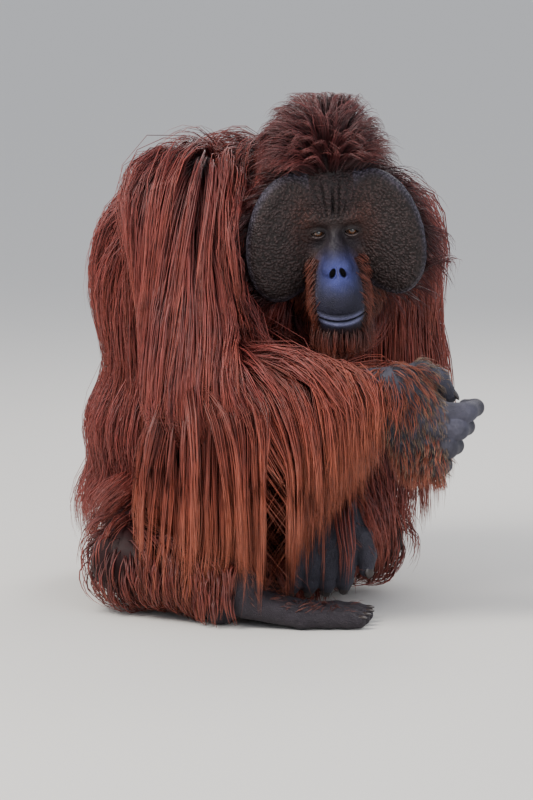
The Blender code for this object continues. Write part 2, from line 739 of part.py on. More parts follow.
def grow_coat(coat, solids, collection):
    """The long coat, node by node, from the lowest rows up, so that the higher locks lie over the lower."""
    locks = {name: [] for name in solids}

    def add(node, root, comb, length, width, standing, sag=0.3, loose=0.02):
        made = coat.lock(node, root, comb, length, width, standing, sag, loose, collection)
        if made:
            locks[node].append(made)

    front, down, outside = Vector((0, -1, 0)), Vector((0, 0, -1)), Vector((1, 0, 0))
    left, crown, face = HEAD_AXES
    shins = (("shin_right", KNEE_R, ANKLE_R, front), ("shin_left", KNEE_L, ANKLE_L, Vector((0.6, -1, 0))))
    for name, start, end, zero in shins:
        for root in limb_roots(coat, name, start, end, (0.75, 0.45, 0.15), (-45, 10), zero):
            add(name, root, (start - end).normalized() + down * 0.3, 0.08, 0.036, 0.004)
    thighs = (
        ("thigh_right", HIP_R, KNEE_R, Vector((-1, 0, 0))),
        ("thigh_left", HIP_L, KNEE_L, Vector((1, 0.5, 0))),
    )
    for name, start, end, zero in thighs:
        for root in limb_roots(coat, name, start, end, (0.9, 0.5), (-40, 0, 45), zero):
            add(name, root, down + (end - start).normalized() * 0.4, 0.11, 0.046, 0.006)

    def around(node, middle, count, first, step, comb_out, length, width, standing):
        for i in range(count):
            turn = math.radians(first + step * i)
            toward = ACROSS * math.cos(turn) - AHEAD * math.sin(turn)
            root = coat.surface(node, middle, toward)
            add(node, root, down + toward * comb_out, length, width, standing, 0.3, 0.008)

    around("hips", PELVIS + UP * 0.03, 9, 200, -27, 0.3, 0.13, 0.075, 0.004)
    trunk_rows = ((0.26, 0.20, 0.004), (0.40, 0.26, 0.006), (0.54, 0.28, 0.008), (0.67, 0.30, 0.010))
    for i, (height, length, standing) in enumerate(trunk_rows):
        middle = CHEST - AHEAD * 0.02
        middle.z = height
        around("torso", middle, 8, 200 - 12 * (i % 2), -26, 0.15, length, 0.084, standing)

    fore = (WRIST_R - ELBOW_R).normalized()
    fore_rows = ((0.86, 0.16), (0.70, 0.24), (0.54, 0.30), (0.38, 0.34), (0.21, 0.35), (0.04, 0.34))
    for share, length in fore_rows:
        for root in limb_roots(coat, "forearm_right", ELBOW_R, WRIST_R, (share,), (-75, -25, 20), front):
            add("forearm_right", root, fore * 0.5 + down, length, 0.062, 0.010, 0.9, 0.5)
    for share, length in ((0.5, 0.12), (0.15, 0.15)):
        for root in limb_roots(coat, "forearm_left", ELBOW_L, WRIST_L, (share,), (-70, -10, 50), outside):
            add("forearm_left", root, down, length, 0.056, 0.008, 0.8, 0.5)
    arm_rows = ((0.97, 0.33, 0.008), (0.70, 0.40, 0.014), (0.40, 0.42, 0.020), (0.08, 0.38, 0.026))
    for i, (share, length, standing) in enumerate(arm_rows):
        turns = [-80 + 16 * (i % 2) + 34 * j for j in range(7)]
        for root in limb_roots(coat, "upper_arm_right", SHOULDER_R, ELBOW_R, (share,), turns, front):
            add("upper_arm_right", root, (ELBOW_R - SHOULDER_R).normalized() + down, length, 0.070, standing)
        turns = [-45 + 20 * (i % 2) + 45 * j for j in range(5)]
        for root in limb_roots(coat, "upper_arm_left", SHOULDER_L, ELBOW_L, (share,), turns, outside):
            add("upper_arm_left", root, down, length * 0.70, 0.070, standing)

    for height, standing in ((-0.03, 0.014), (0.04, 0.020)):
        for i in range(7):
            turn = math.radians(-8 + 33 * i)
            toward = Vector((math.cos(turn), math.sin(turn), 0.75))
            root = coat.surface("neck", NAPE + UP * height, toward)
            add("neck", root, Vector((toward.x, toward.y, -0.8)), 0.17, 0.072, standing, 0.6, 0.004)
    for i in range(7):
        share = i / 6 - 0.5
        toward = left * share * 2.2 - crown * 0.8 + face * 0.2
        root = coat.surface("head", head_point(share * 8, -16.6, 0), toward)
        add("head", root, down + left * share + face * 0.15, 0.065, 0.032, 0.006)
    for i in range(13):
        turn = math.radians(-42 + 264 * i / 12)
        toward = left * math.cos(turn) + crown * math.sin(turn) - face * 0.2
        root = coat.surface("head", head_point(-0.8, 7.0, -10.5), toward)
        add("head", root, left * math.cos(turn) - face * 0.4 + down * 0.5, 0.10, 0.058, 0.008)
    for i in range(7):
        turn = math.radians(18 + 144 * i / 6)
        toward = left * math.cos(turn) + crown * math.sin(turn) + face * 0.55
        root = coat.surface("head", head_point(-0.8, 7.0, -7.5), toward)
        add("head", root, left * math.cos(turn) * 0.9 - face + crown * 0.2, 0.10, 0.048, 0.012)
    return locks


# Colours.

COAT_RED = (0.23, 0.052, 0.028, 1)
FACE_GREY = (0.060, 0.055, 0.075, 1)
MUZZLE_BLUE = (0.085, 0.085, 0.160, 1)
EYE_BROWN = (0.10, 0.045, 0.015, 1)


def material(name, colour, roughness):
    made = bpy.data.materials.new(name)
    made.use_nodes = True
    shader = made.node_tree.nodes["Principled BSDF"]
    shader.inputs["Base Color"].default_value = colour
    shader.inputs["Roughness"].default_value = roughness
    return made


def dress(solids):
    coat = material("long_red_hair", COAT_RED, 0.6)
    skin = material("grey_skin", FACE_GREY, 0.55)
    muzzle = material("blue_grey_skin", MUZZLE_BLUE, 0.5)
    eye = material("eye", EYE_BROWN, 0.15)
    for name, made in solids.items():
        if name.startswith("eye"):
            made.data.materials.append(eye)
        elif name.startswith(("hand", "foot", "ear")):
            made.data.materials.append(skin)
        elif name.startswith(("head", "cheek")):
            made.data.materials.append(muzzle)
        else:
            made.data.materials.append(coat)


# The head's openings and lids.


PIT_RADII = (0.0190, 0.0135, 0.0170)
LID_THICKNESS = 0.0032
OPENING_RADII = (0.0112, 0.0046, 0.0180)
NOSTRIL_RADII = (0.0068, 0.0062, 0.0110)


def carve_head(head, collection):
    """Eye pits, lids, nostrils and the line of the mouth."""

    def take_out(centre, radii, segments, rings):
        hollow = sphere_piece(head_point(*centre), radii, HEAD_AXES, collection, segments, rings)
        boolean(head, hollow, "DIFFERENCE")
        remove(hollow)

    lids = []
    lid = EYE_RADIUS + LID_THICKNESS
    for side, sign in SIDES.items():
        take_out((sign * EYE_APART, EYE_HEIGHT + 0.1, 1.3), PIT_RADII, 12, 8)
        lids.append(sphere_piece(eye_centre(side), (lid * 1.08, lid, lid), HEAD_AXES, collection, 12, 8))
    fuse(head, lids, collection)
    for sign in SIDES.values():
        take_out((sign * EYE_APART, EYE_HEIGHT - 0.05, 0.9), OPENING_RADII, 12, 6)
        take_out((sign * 0.95, -6.4, 6.1), NOSTRIL_RADII, 8, 6)
    mouth = mouth_cutter(collection)
    boolean(head, mouth, "DIFFERENCE")
    remove(mouth)


# In centimetres: half the mouth's width, its middle, the rise of its corners, how far back its middle and its
# corners are parted, and half the gap between the lips.
MOUTH_HALF = 4.9
MOUTH_MIDDLE = -15.0
MOUTH_RISE = 0.9
MOUTH_BACK = (6.3, 2.6)
LIP_GAP = 0.16
MOUTH_FRONT = 14.0
MOUTH_COLUMNS = 9


def mouth_cutter(collection):
    """A thin curved slab that parts the lips, higher at the corners."""
    work = bmesh.new()
    rows = []
    for i in range(MOUTH_COLUMNS):
        share = 2 * i / (MOUTH_COLUMNS - 1) - 1
        left = MOUTH_HALF * share
        crown = MOUTH_MIDDLE + MOUTH_RISE * share * share
        back = MOUTH_BACK[0] + (MOUTH_BACK[1] - MOUTH_BACK[0]) * share * share
        half = LIP_GAP * (1 - share**4) + LIP_GAP / 4
        corners = ((half, MOUTH_FRONT), (-half, MOUTH_FRONT), (-half * 0.4, back), (half * 0.4, back))
        row = []
        for rise, face in corners:
            row.append(work.verts.new(head_point(left, crown + rise, face)))
        rows.append(row)
    work.faces.new(rows[0])
    work.faces.new(rows[-1][::-1])
    for one, two in zip(rows, rows[1:]):
        for j in range(4):
            k = (j + 1) % 4
            work.faces.new((one[j], two[j], two[k], one[k]))
    bmesh.ops.recalc_face_normals(work, faces=work.faces[:])
    bmesh.ops.triangulate(work, faces=work.faces[:])
    return mesh_object("mouth_line", work, collection)


def make_ear(side, collection):
    """A small round ear with its cup."""
    axes = ear_axes(side)
    made = sphere_piece(ear_centre(side), (0.010, 0.021, 0.015), axes, collection, 10, 6)
    cup = sphere_piece(ear_centre(side) + axes[0] * 0.009, (0.009, 0.0135, 0.0090), axes, collection, 8, 5)
    boolean(made, cup, "DIFFERENCE")
    remove(cup)
    made.name = "ear_" + side
    return made


def make_core(name, forms, coat, triangles, collection):
    """One node's body: its forms fused, rounded by the field and thinned."""
    made = stand_in(name, forms, coat, collection)
    voxel = made.modifiers.new("fuse", "REMESH")
    voxel.mode = "VOXEL"
    voxel.voxel_size = BARE_VOXEL if coat == 0.0 else COATED_VOXEL
    apply_modifiers(made)
    shape_to_field(made.data, field_of(forms, coat))
    thinned(made, triangles)
    largest_body(made)
    return made


def part_ways(solids, coated, collection):
    """Cuts back a coated node wherever one of its locks still grazes another node."""
    for name in coated:
        for other, neighbour in solids.items():
            if other == name or not Coat.tree_of(solids[name]).overlap(Coat.tree_of(neighbour)):
                continue
            grown = grown_copy(neighbour, GROWN, collection)
            boolean(solids[name], grown, "DIFFERENCE")
            boolean(solids[name], neighbour, "DIFFERENCE")
            remove(grown)
            largest_body(solids[name])


def main():
    for old in list(bpy.data.objects):
        bpy.data.objects.remove(old)
    parts = bpy.data.collections.new("orangutan")
    bpy.context.scene.collection.children.link(parts)
    solids = {}
    for side in SIDES:
        eye = sphere_piece(eye_centre(side), (EYE_RADIUS,) * 3, HEAD_AXES, parts, 12, 8)
        eye.name = "eye_" + side
        solids[eye.name] = eye
    for side in SIDES:
        ear = make_ear(side, parts)
        solids[ear.name] = ear
    fields = {}
    under = floor_block(parts)
    for name, (forms, coat, triangles) in BODY.items():
        made = make_core(name, forms, coat, triangles, parts)
        if name == "head":
            carve_head(made, parts)
        for other in solids.values():
            grown = grown_copy(other, GROWN, parts)
            boolean(made, grown, "DIFFERENCE")
            remove(grown)
        boolean(made, under, "DIFFERENCE")
        largest_body(made)
        fields[name] = field_of(forms, coat)
        solids[name] = made
    remove(under)
    coat = Coat(fields, solids)
    locks = grow_coat(coat, solids, parts)
    for name, pieces in locks.items():
        if pieces:
            fuse(solids[name], pieces, parts)
    part_ways(solids, [name for name, pieces in locks.items() if pieces], parts)
    dress(solids)
    for made in solids.values():
        made.data.shade_smooth()
        made.data.set_sharp_from_angle(angle=math.radians(50))


main()
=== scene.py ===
"""A flanged male orangutan, life size and seated: its skin, eyes, nails and long red hair."""

import math

import bmesh
import bpy
import numpy as np
from mathutils import Matrix, Vector
from mathutils.kdtree import KDTree


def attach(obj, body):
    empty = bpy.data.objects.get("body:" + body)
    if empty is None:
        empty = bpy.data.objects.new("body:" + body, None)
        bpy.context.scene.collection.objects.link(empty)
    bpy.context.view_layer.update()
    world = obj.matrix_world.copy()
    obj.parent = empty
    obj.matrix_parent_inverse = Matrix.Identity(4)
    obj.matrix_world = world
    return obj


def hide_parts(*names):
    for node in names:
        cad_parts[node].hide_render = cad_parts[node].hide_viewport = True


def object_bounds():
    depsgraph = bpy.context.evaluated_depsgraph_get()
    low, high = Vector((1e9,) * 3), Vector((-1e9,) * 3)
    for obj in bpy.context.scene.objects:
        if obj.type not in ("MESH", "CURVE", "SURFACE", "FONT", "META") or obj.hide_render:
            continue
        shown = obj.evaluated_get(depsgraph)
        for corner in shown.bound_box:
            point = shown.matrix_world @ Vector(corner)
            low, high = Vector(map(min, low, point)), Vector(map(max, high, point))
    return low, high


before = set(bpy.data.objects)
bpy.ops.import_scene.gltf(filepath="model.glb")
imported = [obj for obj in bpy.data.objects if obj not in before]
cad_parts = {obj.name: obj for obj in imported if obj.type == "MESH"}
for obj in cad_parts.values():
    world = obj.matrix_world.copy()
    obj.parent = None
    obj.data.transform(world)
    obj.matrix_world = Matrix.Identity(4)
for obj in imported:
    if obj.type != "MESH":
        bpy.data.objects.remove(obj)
CAD_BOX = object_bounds()
CAD_LOW, CAD_HIGH = (np.array(corner) for corner in CAD_BOX)

SEED = 29
DOWN = np.array((0.0, 0.0, -1.0))
UPWARD = Vector((0, 0, 1))

# The body's named places, as the solids have them, in metres.
TRUNK_YAW = math.radians(30)
ACROSS = Vector((math.cos(TRUNK_YAW), math.sin(TRUNK_YAW), 0))
AHEAD = Vector((math.sin(TRUNK_YAW), -math.cos(TRUNK_YAW), 0))
PELVIS = Vector((-0.02, 0.02, 0.135))
CHEST = Vector((0.03, 0.0, 0.52))
SHOULDER_R = Vector((-0.053, -0.17, 0.735))
SHOULDER_L = Vector((0.295, 0.0, 0.655))
NECK_BASE = Vector((0.090, -0.050, 0.690))
NAPE = Vector((0.070, -0.070, 0.715))
ELBOW_R = Vector((-0.030, -0.325, 0.395))
WRIST_R = Vector((0.300, -0.410, 0.424))
ELBOW_L = Vector((0.345, 0.010, 0.305))
WRIST_L = Vector((0.222, -0.262, 0.188))
HIP_R = Vector((-0.105, -0.050, 0.120))
KNEE_R = Vector((-0.170, -0.325, 0.095))
ANKLE_R = Vector((0.040, -0.440, 0.062))
HIP_L = Vector((0.090, 0.050, 0.120))
KNEE_L = Vector((0.280, -0.140, 0.105))
ANKLE_L = Vector((0.085, -0.262, 0.062))
FLOOR_GAP = 0.0015

# The head's own axes, about a point between the eyes; places on the head are in centimetres along them.
BROW = Vector((0.209, -0.300, 0.6945))
HEAD_PITCH = math.radians(12)
HEAD_ROLL = math.radians(4.5)
EYE_RADIUS = 0.0120
EYE_SPOT = (3.05, -0.75, -0.9)
LID_THICKNESS = 0.0032
NOSTRIL_SPOT = (0.92, -6.5)
MOUTH_HALF, MOUTH_MIDDLE, MOUTH_RISE = 4.9, -15.0, 0.9
SIDES = {"right": -1, "left": 1}


def turned_axes(pitch, roll):
    """The head's left, crown and face directions."""
    crown = Vector((0, -math.sin(pitch), math.cos(pitch)))
    left = Vector((1, 0, 0))
    face = left.cross(crown)
    return (
        left * math.cos(roll) + crown * math.sin(roll),
        crown * math.cos(roll) - left * math.sin(roll),
        face,
    )


HEAD_AXES = turned_axes(HEAD_PITCH, HEAD_ROLL)
HEAD_TURN = np.array([list(axis) for axis in HEAD_AXES])


def head_point(left, crown, face):
    u, v, w = HEAD_AXES
    return BROW + (u * left + v * crown + w * face) * 0.01


def head_local(points):
    """Points in centimetres along the head's axes."""
    return (points - np.array(BROW)) @ HEAD_TURN.T * 100


def unit(vectors):
    return vectors / np.maximum(np.linalg.norm(vectors, axis=-1, keepdims=True), 1e-9)


def smoothstep(low, high, value):
    share = np.clip((value - low) / (high - low), 0, 1)
    return share * share * (3 - 2 * share)


def hill(value, width):
    """One at zero, falling away over the width."""
    return np.exp(-((value / width) ** 2))


# Round forms under the skin, each with its distance function and the balls that stand in for it.

AXES = (Vector((1, 0, 0)), Vector((0, 1, 0)), Vector((0, 0, 1)))
FAR = 1.0
REACH = 0.06
COATED_BLEND = 0.014
BARE_BLEND = 0.0045
HAND_BLEND = 0.0028
JOIN_BLEND = 0.006


def ball(centre, radii, axes=AXES):
    turn = np.array([list(axis) for axis in axes])
    middle, size = np.array(centre), np.array(radii)

    def distance(points):
        local = (points - middle) @ turn.T
        near = np.linalg.norm(local / size, axis=1)
        slope = np.linalg.norm(local / size**2, axis=1)
        return near * (near - 1) / np.maximum(slope, 1e-9)

    widest = max(radii)
    return {"distance": distance, "low": middle - widest, "high": middle + widest,
            "spots": [(middle, size)], "turn": turn}


def limb(start, end, start_radius, end_radius):
    """A round-ended cone."""
    a, b = np.array(start), np.array(end)
    along = b - a

    def distance(points):
        share = np.clip((points - a) @ along / (along @ along), 0, 1)
        nearest = a + share[:, None] * along
        return np.linalg.norm(points - nearest, axis=1) - (start_radius + (end_radius - start_radius) * share)

    widest = max(start_radius, end_radius)
    count = max(2, int(np.linalg.norm(along) / (0.6 * min(start_radius, end_radius))))
    spots = []
    for i in range(count + 1):
        radius = start_radius + (end_radius - start_radius) * i / count
        spots.append((a + along * i / count, np.full(3, radius)))
    return {"distance": distance, "low": np.minimum(a, b) - widest, "high": np.maximum(a, b) + widest,
            "spots": spots, "turn": np.eye(3)}


def head_ball(centre, radii):
    return ball(head_point(*centre), [r * 0.01 for r in radii], HEAD_AXES)


def head_limb(start, end, start_radius, end_radius):
    return limb(head_point(*start), head_point(*end), start_radius * 0.01, end_radius * 0.01)


def trunk_ball(centre, radii):
    return ball(centre, radii, (ACROSS, AHEAD, UPWARD))


def smooth_least(values, blend):
    """The least of each column, rounded where two are alike."""
    least = values.min(axis=0)
    return least - blend * np.log(np.exp(-(values - least) / blend).sum(axis=0))


def union(forms, blend):
    def field(points):
        each = np.full((len(forms), len(points)), FAR)
        for row, form in zip(each, forms):
            near = np.all((points > form["low"] - REACH) & (points < form["high"] + REACH), axis=1)
            if near.any():
                row[near] = form["distance"](points[near])
        return smooth_least(each, blend)

    return field


# Hands and feet.

FINGER_BONES = (0.058, 0.042, 0.024)
FINGER_RADII = (0.0175, 0.0165, 0.0145, 0.0120)
TOE_BONES = (0.050, 0.036, 0.022)
TOE_RADII = (0.0160, 0.0150, 0.0135, 0.0115)
NAILS = []


def nail_on(start, end, back, radius):
    """Keeps the place of a nail: near the tip, on the back of the last bone."""
    ahead = (end - start).normalized()
    out = (Vector(back) - ahead * Vector(back).dot(ahead)).normalized()
    NAILS.append((end + out * radius * 0.86 + ahead * radius * 0.25, ahead, out, radius))


def digit(root, turns, lengths, radii, back):
    """A finger or toe, one cone for each bone."""
    forms = []
    start = Vector(root)
    for i, (turn, length) in enumerate(zip(turns, lengths)):
        end = start + Vector(turn).normalized() * length
        forms.append(limb(start, end, radii[i], radii[i + 1]))
        if i == len(lengths) - 1:
            nail_on(start, end, back, radii[i + 1])
        start = end
    return forms


def palm(wrist, first, last, turns, bones, radii, thickness, back):
    """The four long bones of a palm or sole and the digits that they carry."""
    forms = []
    row = last - first
    for i in range(4):
        share = i / 3
        knuckle = first.lerp(last, share)
        reach = 1.0 - 0.10 * abs(share - 0.42)
        root = wrist.lerp(knuckle, 0.12) + row * (share - 0.5) * 0.45
        forms.append(limb(root, knuckle, thickness, radii[0] * 1.06))
        spread = row.normalized() * (share - 0.5) * 0.12
        aims = [Vector(turn).normalized() + spread for turn in turns]
        forms += digit(knuckle, aims, [b * reach for b in bones], radii, back)
    return forms


def thumb(points, sizes, back):
    forms = [limb(points[i], points[i + 1], sizes[i], sizes[i + 1]) for i in range(len(points) - 1)]
    nail_on(Vector(points[-2]), Vector(points[-1]), back, sizes[-1])
    return forms


def right_hand():
    turns = ((0.80, -0.55, 0.04), (0.35, 0.94, 0.0), (-0.75, 0.65, 0.0))
    forms = palm(WRIST_R, Vector((0.397, -0.412, 0.378)), Vector((0.345, -0.412, 0.285)), turns,
                 FINGER_BONES, FINGER_RADII, 0.023, (0.5, 0.8, 0.1))
    points = ((0.325, -0.398, 0.437), (0.362, -0.383, 0.447), (0.394, -0.373, 0.434), (0.414, -0.372, 0.402))
    return forms + thumb(points, (0.0190, 0.0185, 0.0180, 0.0135), (0.6, -0.2, 0.6))


def left_hand():
    turns = ((-0.10, -0.12, -0.95), (-0.10, 0.22, -0.90), (-0.10, 0.45, -0.60))
    forms = palm(WRIST_L, Vector((0.232, -0.305, 0.112)), Vector((0.146, -0.298, 0.104)), turns,
                 (0.036, 0.024, 0.018), FINGER_RADII, 0.023, (-0.1, -1, -0.4))
    points = ((0.236, -0.282, 0.160), (0.262, -0.298, 0.132), (0.270, -0.305, 0.100), (0.268, -0.308, 0.074))
    return forms + thumb(points, (0.0185, 0.0180, 0.0165, 0.0130), (0.5, -0.9, 0))


def foot(ankle, heel, first, last, hallux, turns):
    forms = [limb(ankle, heel, 0.036, 0.030)]
    forms += palm(ankle - UPWARD * 0.022, first, last, turns, TOE_BONES, TOE_RADII, 0.022, (0, 0, 1))
    return forms + thumb(hallux, (0.0200, 0.0185, 0.0150), (0, 0, 1))


def right_foot():
    turns = ((1, 0.10, -0.02), (0.95, 0.05, -0.05), (0.9, 0.02, -0.12))
    return foot(ANKLE_R, Vector((0.005, -0.436, 0.028)), Vector((0.165, -0.404, 0.019)),
                Vector((0.150, -0.488, 0.019)),
                ((0.080, -0.412, 0.030), (0.116, -0.384, 0.021), (0.146, -0.372, 0.015)), turns)


def left_foot():
    turns = ((-1, 0.03, -0.02), (-0.95, 0.03, -0.05), (-0.9, 0.03, -0.12))
    return foot(ANKLE_L, Vector((0.118, -0.245, 0.028)), Vector((-0.010, -0.305, 0.019)),
                Vector((-0.005, -0.220, 0.019)),
                ((0.055, -0.290, 0.030), (0.025, -0.326, 0.022), (0.000, -0.338, 0.016)), turns)


def head_forms():
    """Skull, crown, brow, muzzle and jaw."""
    return [
        head_ball((0, 4.0, -9.0), (8.2, 8.2, 9.5)),
        head_ball((-1.2, 12.0, -8.5), (6.8, 7.0, 7.6)),
        head_ball((0, -1.5, -4.8), (6.8, 9.5, 5.0)),
        head_ball((0, 5.6, -3.7), (9.4, 5.2, 4.0)),
        head_limb((-3.6, 1.7, -0.9), (3.6, 1.7, -0.9), 1.45, 1.45),
        head_limb((0, -7.3, -0.6), (0, -12.3, 3.2), 4.9, 5.3),
        head_ball((0, -16.6, 1.8), (4.8, 3.8, 5.6)),
        head_ball((0, -13.0, -6.5), (8.0, 7.5, 6.5)),
        head_limb((0, -0.4, -1.0), (0, -5.2, 3.5), 1.3, 2.1),
        head_ball((-1.35, -6.1, 4.9), (1.25, 1.15, 1.2)),
        head_ball((1.35, -6.1, 4.9), (1.25, 1.15, 1.2)),
    ]


FLANGE_MIDDLE = (8.9, -1.7, -1.7)
FLANGE_RADII = (6.9, 12.0, 2.8)
FLANGE_YAW, FLANGE_LEAN = -14, -12
RIM_RADIUS = 0.0140
RIM_REACH = (0.054, 0.100, 0.004)
RIM_TURNS = (-70, 60)
RIM_POINTS = 9


def flange_forms(side):
    """A cheek pad: a thick disc with a rolled rim, its outer edge brought forward."""
    sign = SIDES[side]
    u, v, w = HEAD_AXES
    yaw, lean = math.radians(FLANGE_YAW) * sign, math.radians(FLANGE_LEAN) * sign
    out = u * math.cos(yaw) - w * math.sin(yaw)
    front = w * math.cos(yaw) + u * math.sin(yaw)
    tall = v * math.cos(lean) + out * math.sin(lean)
    wide = out * math.cos(lean) - v * math.sin(lean)
    a, b, c = FLANGE_MIDDLE
    middle = head_point(a * sign, b, c)
    forms = [ball(middle, [r * 0.01 for r in FLANGE_RADII], (wide, tall, front))]
    rim = []
    across, up, proud = RIM_REACH
    first, last = RIM_TURNS
    for i in range(RIM_POINTS):
        turn = math.radians(first + (last - first) * i / (RIM_POINTS - 1))
        spot = wide * (sign * across * math.cos(turn)) + tall * (up * math.sin(turn)) + front * proud
        rim.append(middle + spot)
    return forms + [limb(rim[i], rim[i + 1], RIM_RADIUS, RIM_RADIUS) for i in range(RIM_POINTS - 1)]


def ear_axes(side):
    u, v, w = HEAD_AXES
    out = (u * SIDES[side] + w * 0.35).normalized()
    tall = (v - out * v.dot(out)).normalized()
    return out, tall, out.cross(tall)


def ear_centre(side):
    return head_point(SIDES[side] * 9.6, -1.5, -6.6)


def eye_centre(side):
    left, crown, face = EYE_SPOT
    return head_point(SIDES[side] * left, crown, face)


def neck_forms():
    return [
        limb(NECK_BASE, head_point(-0.5, 0, -12), 0.118, 0.078),
        ball(NAPE, (0.125, 0.120, 0.110)),
        limb(head_point(0, -15.5, -8.5), NECK_BASE + AHEAD * 0.07 - UPWARD * 0.09, 0.066, 0.085),
    ]


def upper_arm_forms(shoulder, elbow):
    return [limb(shoulder, elbow, 0.062, 0.048), ball(shoulder, (0.078, 0.078, 0.084))]


def forearm_forms(elbow, wrist):
    return [limb(elbow, wrist, 0.048, 0.033), limb(elbow, elbow.lerp(wrist, 0.45), 0.050, 0.047)]


def hip_forms():
    return [
        trunk_ball(PELVIS, (0.205, 0.165, 0.150)),
        trunk_ball(PELVIS + UPWARD * 0.02 - AHEAD * 0.03, (0.190, 0.150, 0.140)),
    ]


def torso_forms():
    return [
        trunk_ball(CHEST, (0.200, 0.165, 0.230)),
        trunk_ball(PELVIS + UPWARD * 0.17 + AHEAD * 0.03, (0.200, 0.180, 0.165)),
        trunk_ball(Vector((-0.030, -0.010, 0.590)), (0.160, 0.150, 0.180)),
        trunk_ball((SHOULDER_R + SHOULDER_L) * 0.5 + UPWARD * 0.010 - AHEAD * 0.02, (0.185, 0.105, 0.090)),
    ]


COATED = {
    "neck": neck_forms(),
    "upper_arm_right": upper_arm_forms(SHOULDER_R, ELBOW_R),
    "upper_arm_left": upper_arm_forms(SHOULDER_L, ELBOW_L),
    "forearm_right": forearm_forms(ELBOW_R, WRIST_R),
    "forearm_left": forearm_forms(ELBOW_L, WRIST_L),
    "shin_right": [limb(KNEE_R, ANKLE_R, 0.055, 0.036)],
    "shin_left": [limb(KNEE_L, ANKLE_L, 0.055, 0.036)],
    "thigh_right": [limb(HIP_R, KNEE_R, 0.090, 0.060)],
    "thigh_left": [limb(HIP_L, KNEE_L, 0.090, 0.060)],
    "hips": hip_forms(),
    "torso": torso_forms(),
}
BARE = {
    "head": head_forms(),
    "cheek_flange_right": flange_forms("right"),
    "cheek_flange_left": flange_forms("left"),
    "hand_right": right_hand(),
    "hand_left": left_hand(),
    "foot_right": right_foot(),
    "foot_left": left_foot(),
    "ear_right": [ball(ear_centre("right"), (0.010, 0.021, 0.015), ear_axes("right"))],
    "ear_left": [ball(ear_centre("left"), (0.010, 0.021, 0.015), ear_axes("left"))],
}
NODES = list(COATED) + list(BARE)


def carved(field, hollows, hollow_blend, domes, dome_blend):
    """A field with some forms taken out and then some put in."""
    def cut(points):
        gap = field(points)
        for hollow in hollows:
            gap = -smooth_least(np.stack((-gap, hollow["distance"](points))), hollow_blend)
        for dome in domes:
            gap = smooth_least(np.stack((gap, dome["distance"](points))), dome_blend)
        return gap

    return cut


def make_fields():
    """The distance from each node's skin, with the eye pits, the lids' domes and the cups of the ears."""
    fields = {name: union(forms, COATED_BLEND) for name, forms in COATED.items()}
    for name, forms in BARE.items():
        fields[name] = union(forms, HAND_BLEND if name.startswith(("hand", "foot")) else BARE_BLEND)
    pit_spot = (EYE_SPOT[1] + 0.1, 1.3)
    pits = [head_ball((sign * EYE_SPOT[0], *pit_spot), (1.90, 1.35, 1.70)) for sign in SIDES.values()]
    lid = EYE_RADIUS + LID_THICKNESS
    lids = [ball(eye_centre(side), (lid * 1.08, lid, lid), HEAD_AXES) for side in SIDES]
    fields["head"] = carved(fields["head"], pits, 0.004, lids, 0.0018)
    for side in SIDES:
        axes = ear_axes(side)
        cup = ball(ear_centre(side) + axes[0] * 0.009, (0.009, 0.0135, 0.0090), axes)
        fields["ear_" + side] = carved(fields["ear_" + side], [cup], 0.001, [], 0.001)
    return fields


FIELDS = make_fields()


def node_distances(points):
    return np.stack([FIELDS[name](points) for name in NODES])


def body_distance(points):
    return smooth_least(node_distances(points), JOIN_BLEND)


def slope_of(field, points, step=0.0006):
    """Unit directions in which the field grows, its steepness and its value."""
    here = field(points)
    parts = [(field(points + shift) - here) / step for shift in np.eye(3) * step]
    slope = np.stack(parts, axis=1)
    size = np.maximum(np.linalg.norm(slope, axis=1), 1e-6)
    return slope / size[:, None], size, here


class BodySpace:
    """The body's distance field, sampled on a grid and read between its points."""

    def __init__(self, low, high, pitch):
        self.low, self.pitch = np.array(low), pitch
        axes = [np.arange(low[i], high[i] + pitch, pitch) for i in range(3)]
        self.size = np.array([len(axis) for axis in axes])
        values = np.empty(self.size)
        flat = np.stack(np.meshgrid(axes[1], axes[2], indexing="ij"), axis=-1).reshape(-1, 2)
        for i, x in enumerate(axes[0]):
            sheet = np.concatenate((np.full((len(flat), 1), x), flat), axis=1)
            values[i] = node_distances(sheet).min(axis=0).reshape(self.size[1], self.size[2])
        values = np.minimum(values, 2 * REACH)
        self.layers = np.stack([values] + np.gradient(values, pitch))

    def read(self, points):
        """The distance at each point and the direction away from the body."""
        place = np.clip((points - self.low) / self.pitch, 0, self.size - 1.001)
        cell = place.astype(int)
        part = place - cell
        total = np.zeros((4, len(points)))
        for corner in np.ndindex(2, 2, 2):
            weight = np.prod(np.where(np.array(corner) == 1, part, 1 - part), axis=1)
            i, j, k = (cell + np.array(corner)).T
            total += self.layers[:, i, j, k] * weight
        return total[0], unit(total[1:].T)


# Meshes and materials.


def new_object(name, mesh):
    made = bpy.data.objects.new(name, mesh)
    bpy.context.scene.collection.objects.link(made)
    return made


def plain_copy(made):
    """The evaluated object as a new plain mesh."""
    graph = bpy.context.evaluated_depsgraph_get()
    return bpy.data.meshes.new_from_object(made.evaluated_get(graph))


def apply_modifiers(made):
    old = made.data
    fresh = plain_copy(made)
    made.modifiers.clear()
    made.data = fresh
    bpy.data.meshes.remove(old)


def points_of(mesh):
    points = np.empty(len(mesh.vertices) * 3)
    mesh.vertices.foreach_get("co", points)
    return points.reshape(-1, 3)


def normals_of(mesh):
    normals = np.empty(len(mesh.vertices) * 3)
    mesh.vertices.foreach_get("normal", normals)
    return normals.reshape(-1, 3)


def move_points(mesh, points):
    mesh.vertices.foreach_set("co", np.ascontiguousarray(points).ravel())
    mesh.update()


